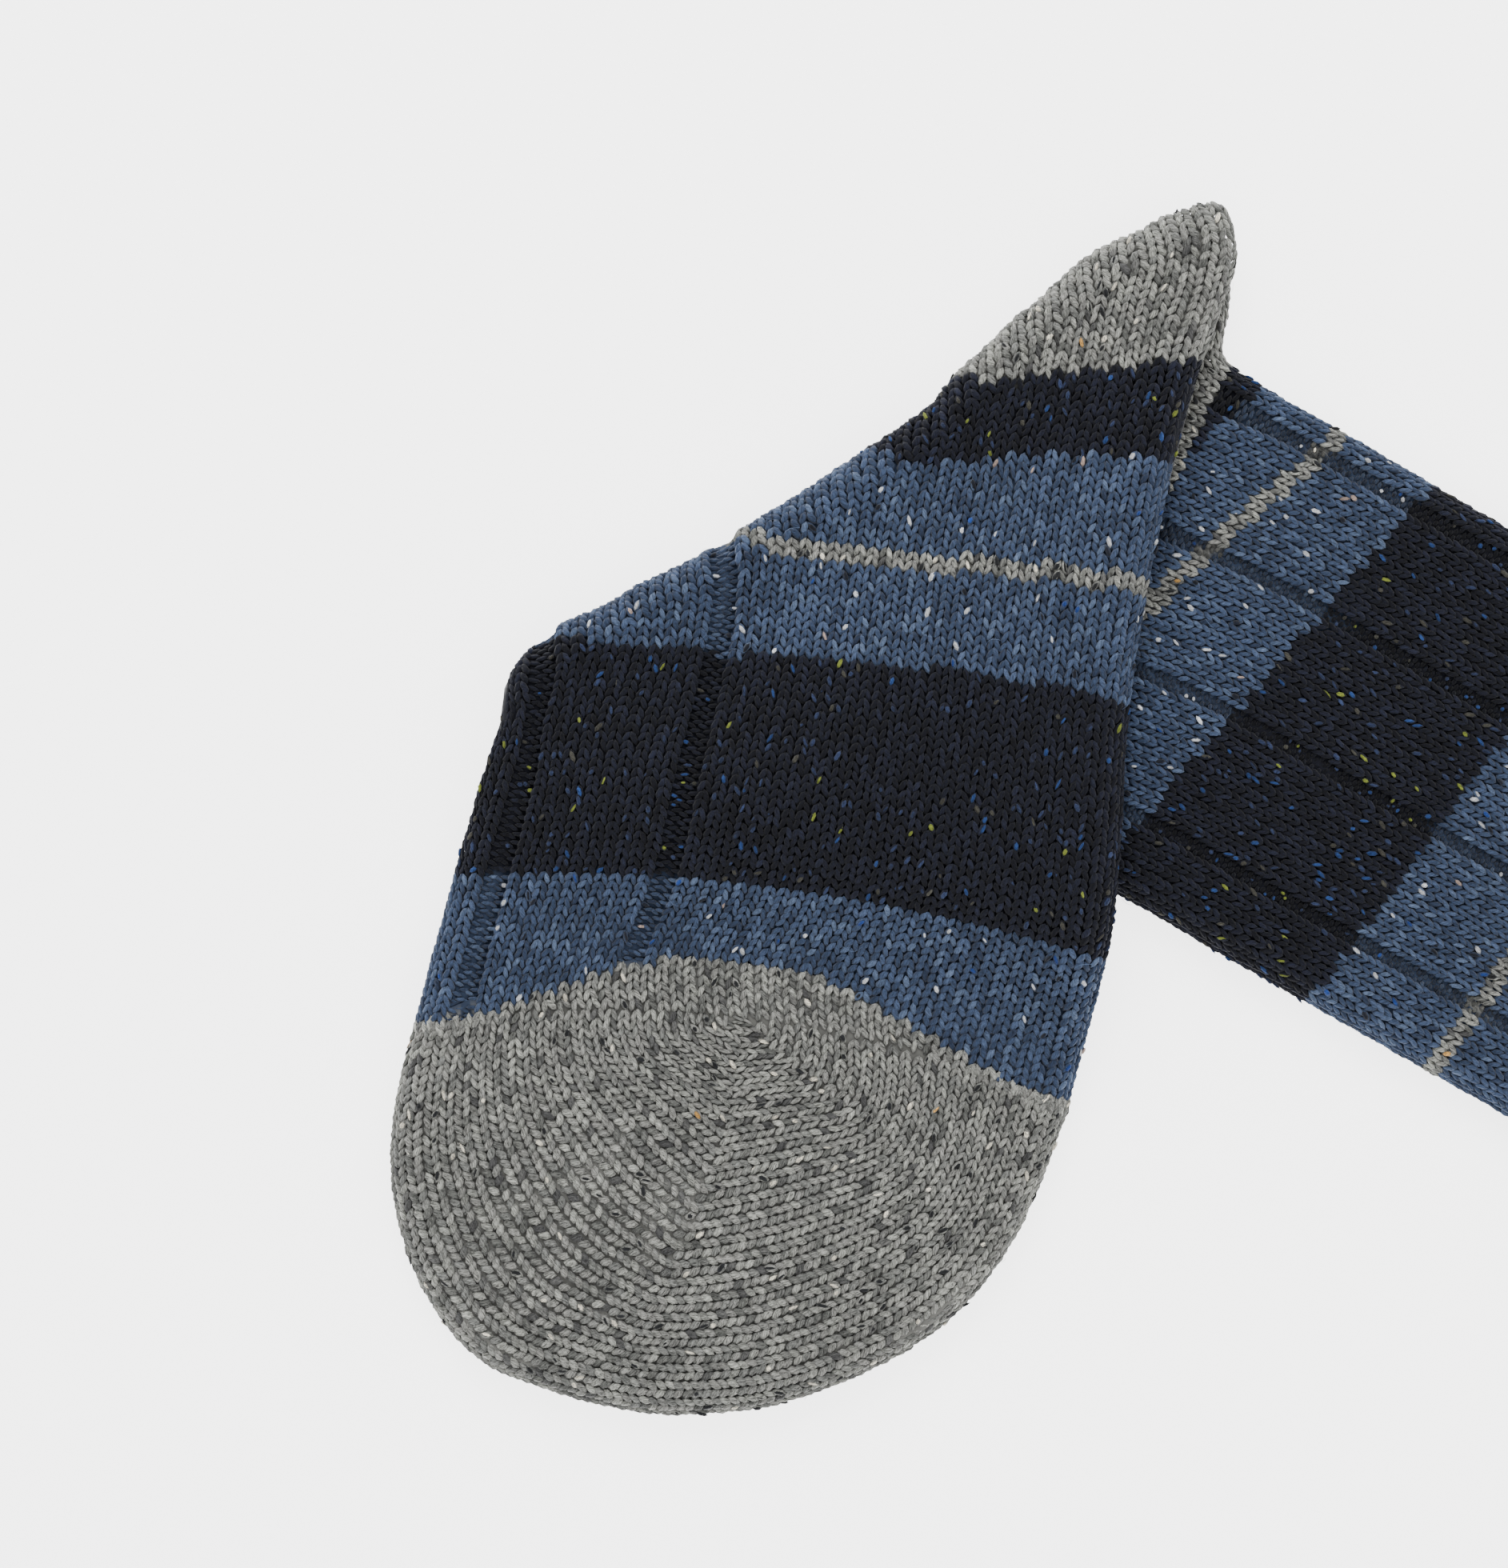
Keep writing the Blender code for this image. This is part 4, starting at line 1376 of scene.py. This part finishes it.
@dataclass
class Fuzz:
    """Loose wool fibres that stand off the cloth here and there."""

    # One fibre for so many stitches.
    stitches_each: float = 15000 / 420
    length: float = 3.2 * MM
    thickness: float = 0.03 * MM
    thinning: float = 0.6
    bow: float = 0.30
    waves: float = 2.6
    arch: float = 0.16
    sides: int = 3
    steps: int = 5
    sizes: tuple[float, float] = (0.45, 1.25)
    height: float = 0.62 * MM
    seed: int = 5

    def template(self) -> bpy.types.Object:
        """One curved fibre along +Y, as an object that isn't shown."""
        build = bmesh.new()
        rings = []
        for k in range(self.steps + 1):
            t = k / self.steps
            middle = Vector((self.bow * math.sin(self.waves * t), t - 0.5,
                             self.arch * math.sin(math.pi * t))) * self.length
            thin = self.thickness * (1.0 - self.thinning * t)
            rings.append([build.verts.new(middle + Vector((math.cos(a), 0.0, math.sin(a))) * thin)
                          for a in (2 * math.pi * s / self.sides for s in range(self.sides))])
        for a, b in zip(rings, rings[1:]):
            for s in range(self.sides):
                n = (s + 1) % self.sides
                build.faces.new((a[s], b[s], b[n], a[n]))
        build.faces.new(rings[0])
        build.faces.new(rings[-1])
        bmesh.ops.recalc_face_normals(build, faces=build.faces)
        mesh = bpy.data.meshes.new("loose_fibre")
        build.to_mesh(mesh)
        build.free()
        return bpy.data.objects.new("loose_fibre", mesh)

    def arrays(self, stitches: Stitches, chosen: np.ndarray,
               colour: np.ndarray) -> dict[str, np.ndarray]:
        """Where the fibres lie.

        Args:
            stitches: All the stitches.
            chosen: Those that may carry one.
            colour: The fibres' linear colour.

        Returns:
            Arrays by attribute name.
        """
        rng = np.random.default_rng(self.seed + len(chosen))
        count = round(len(chosen) / self.stitches_each)
        some = rng.choice(chosen, count, replace=False)
        across, course = stitches.across[some], stitches.course[some]
        normal = np.cross(across, course)
        normal /= np.maximum(np.linalg.norm(normal, axis=1, keepdims=True), 1e-9)
        side = np.cross(course, normal)
        turn = rng.uniform(0, 2 * math.pi, count)[:, None]
        x_axis = side * np.cos(turn) + course * np.sin(turn)
        y_axis = course * np.cos(turn) - side * np.sin(turn)
        size = rng.uniform(*self.sizes, (count, 1))
        tint = np.concatenate([np.tile(colour, (count, 1)), rng.random((count, 1))], axis=1)
        return {"co": stitches.place[some] + normal * self.height,
                "turn": StitchMaker.euler(x_axis, y_axis, normal),
                "size": np.repeat(size, 3, axis=1), "tint": tint}


@dataclass(frozen=True)
class Lamp:
    """A soft square light: its name, place and side in metres, and power in watts."""

    name: str
    place: tuple[float, float, float]
    size: float
    power: float


@dataclass
class Studio:
    """A plain pale floor, soft light and the camera straight above, turned as the page."""

    lens: float = 85.0
    sensor: float = 36.0
    focus_height: float = 10 * MM
    floor_size: float = 6.0
    floor_drop: float = 1.2 * MM
    floor_colour: str = "f5f5f5"
    floor_roughness: float = 0.9
    # The photograph's background is brighter than paper is, so the floor glows a little.
    floor_glow: float = 3.4
    room_light: float = 1.30
    lamps: tuple[Lamp, ...] = (
        Lamp("key", (-0.75, 0.75, 1.3), 0.9, 19.0),
        Lamp("fill", (0.9, -0.4, 1.4), 1.2, 7.5),
    )

    def camera(self) -> None:
        """The camera at the photograph's angle and frame."""
        data = bpy.data.cameras.new("page_camera")
        data.lens = self.lens
        data.sensor_width = self.sensor
        camera = bpy.data.objects.new("page_camera", data)
        bpy.context.scene.collection.objects.link(camera)
        centre = from_page(np.array(PAGE_CENTRE))
        long_side = max(PAGE_SIZE) * PAGE_MM_PER_PIXEL * MM
        distance = long_side * self.lens / self.sensor
        camera.location = (centre[0], centre[1], self.focus_height + distance)
        camera.rotation_euler = (0.0, 0.0, PAGE_TURN)
        bpy.context.scene.camera = camera

    def floor(self) -> None:
        """A large pale floor just under the sock."""
        build = bmesh.new()
        bmesh.ops.create_grid(build, x_segments=8, y_segments=8, size=self.floor_size / 2)
        mesh = bpy.data.meshes.new("floor")
        build.to_mesh(mesh)
        build.free()
        material = bpy.data.materials.new("matt_paper")
        material.use_nodes = True
        shader = material.node_tree.nodes["Principled BSDF"]
        colour = linear(self.floor_colour)
        shader.inputs["Base Color"].default_value = (*colour, 1.0)
        shader.inputs["Roughness"].default_value = self.floor_roughness
        shader.inputs["Emission Color"].default_value = (*colour, 1.0)
        shader.inputs["Emission Strength"].default_value = self.floor_glow
        mesh.materials.append(material)
        floor = bpy.data.objects.new("floor", mesh)
        floor.location.z = -self.floor_drop
        bpy.context.scene.collection.objects.link(floor)

    def hang(self, lamp: Lamp) -> None:
        """Hangs one soft light that looks at the sock.

        Args:
            lamp: The light.
        """
        data = bpy.data.lights.new(lamp.name, "AREA")
        data.size = lamp.size
        data.energy = lamp.power
        light = bpy.data.objects.new(lamp.name, data)
        light.location = lamp.place
        light.rotation_euler = (-Vector(lamp.place)).to_track_quat("-Z", "Y").to_euler()
        bpy.context.scene.collection.objects.link(light)

    def light(self) -> None:
        """Soft light from all round, with a little more from the upper left."""
        world = bpy.data.worlds.new("soft_room")
        world.use_nodes = True
        back = world.node_tree.nodes["Background"]
        back.inputs["Color"].default_value = (1.0, 1.0, 1.0, 1.0)
        back.inputs["Strength"].default_value = self.room_light
        bpy.context.scene.world = world
        for lamp in self.lamps:
            self.hang(lamp)


@dataclass
class Sock:
    """The whole sock: cloth and stitches of the toe, foot, heel, leg and cuff."""

    form: SockForm = field(default_factory=SockForm)
    maker: StitchMaker = field(default_factory=StitchMaker)
    finish: SpunWool = field(default_factory=SpunWool)
    # Yarn legs in one piece, at most, so that no mesh grows too heavy.
    most_legs: int = 9000
    # How far the toe's cloth is drawn over the slit to the foot's.
    toe_overlap: float = 0.6 * MM
    fibre_gain: float = 1.5
    # The cloth behind the stitches is painted darker than its yarn, as shade in the gaps between the
    # stitches: a share for each yarn, and a second one in its material.
    cloth_lift: float = 0.5
    cloth_shades: dict[Yarn, float] = field(
        default_factory=lambda: {Yarn.GREY: 0.9, Yarn.NAVY: 0.6, Yarn.BLUE: 0.6})

    def build(self, frame: dict) -> None:
        """Makes every piece and ties it to the frame.
        """
        stitches = self.knitted()
        tree = self.maker.tree()
        materials = {yarn: self.finish.material(TWEEDS[yarn], 1.0) for yarn in Yarn}
        self.yarn(stitches, tree, materials)
        self.fuzz(stitches, tree, materials)
        self.cloth(frame, stitches)

    def knitted(self) -> Stitches:
        """All the stitches of the foot, the toe and the leg."""
        knitting = Knitting(self.form)
        foot = FootKnit(knitting)
        toe = ToeKnit(knitting, foot)
        leg = LegKnit(knitting)
        stitches = Stitches.joined([foot.stitches(), toe.stitches(), leg.stitches()])
        LOG.info("stitches: %d", len(stitches.place))
        return stitches

    def yarn(self, stitches: Stitches, tree: bpy.types.NodeTree,
             materials: dict[Yarn, bpy.types.Material]) -> None:
        """Makes the yarn of every zone, colour and face, in pieces of a moderate size.

        Args:
            stitches: All the stitches.
            tree: The node tree.
            materials: The yarns' materials.
        """
        rng = np.random.default_rng(self.maker.seed)
        upper = self.maker.template(*self.maker.upper_spindle)
        lower = self.maker.template(*self.maker.lower_spindle)
        pitch = Knitting(self.form).course_pitch
        total = 0
        for zone, yarn, top in itertools.product(Zone, Yarn, (True, False)):
            chosen = np.flatnonzero((stitches.zone == zone.code) & (stitches.yarn == yarn.code)
                                    & (stitches.top == top))
            parts = max(1, math.ceil(2 * len(chosen) / self.most_legs))
            for part in range(parts):
                some = chosen[part * len(chosen) // parts:(part + 1) * len(chosen) // parts]
                if not len(some):
                    continue
                arrays = self.maker.legs(stitches, some, TWEEDS[yarn], pitch, rng)
                name = f"{zone.node}_{yarn.shade}_{'top' if top else 'under'}_{part + 1}"
                piece = self.maker.make(name, arrays, upper if top else lower, tree, materials[yarn])
                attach(piece, "root")
                count = sum(len(p.vertices) - 2 for p in piece.data.polygons)
                total += count
                LOG.info("%s: %d stitches, %d triangles", name, len(some), count)
        LOG.info("stitch triangles: %d", total)

    def fuzz(self, stitches: Stitches, tree: bpy.types.NodeTree,
             materials: dict[Yarn, bpy.types.Material]) -> None:
        """Adds the loose fibres of each yarn.

        Args:
            stitches: All the stitches.
            tree: The node tree.
            materials: The yarns' materials.
        """
        fuzz = Fuzz()
        hair = fuzz.template()
        for yarn in Yarn:
            chosen = np.flatnonzero((stitches.yarn == yarn.code) & stitches.top)
            colour = linear(TWEEDS[yarn].shades[3]) * self.fibre_gain
            arrays = fuzz.arrays(stitches, chosen, colour)
            piece = self.maker.make(f"loose_{yarn.shade}_fibres", arrays, hair, tree, materials[yarn])
            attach(piece, "root")
            LOG.info("%s: %d fibres", piece.name, len(arrays["co"]))

    def cloth(self, frame: dict, stitches: Stitches) -> None:
        """The cloth behind the stitches, tinted darker as painted shade between them, which replaces
        the frame's nodes.

        Args:
            stitches: All the stitches.
        """
        places = KDTree(len(stitches.place))
        for i, place in enumerate(stitches.place):
            places.insert(place, i)
        places.balance()
        # Each yarn's middle colour, darkened as painted shade in the gaps between the stitches.
        middle = np.array([[*(linear(TWEEDS[yarn].shades[1]) * self.cloth_shades[yarn]), 1.0]
                           for yarn in Yarn])
        tints = middle[stitches.yarn]
        material = self.finish.material(TWEEDS[Yarn.GREY], self.cloth_lift)
        ground = Ground()
        for zone in Zone:
            close = turned(0.0, -self.toe_overlap) if zone is Zone.TOE else np.zeros(2)
            piece = ground.make(zone.node, frame["nodes"][zone.node], places, tints,
                                stitches.purl, material, close)
            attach(piece, "root")
            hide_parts(zone.node)
            LOG.info("%s: cloth", piece.name)


def main() -> None:
    """Loads the frame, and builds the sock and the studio."""
    logging.basicConfig(level=logging.INFO, format="%(name)s: %(message)s")
    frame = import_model()
    studio = Studio()
    studio.camera()
    studio.floor()
    studio.light()
    Sock().build(frame)


if __name__ == "__main__":
    main()
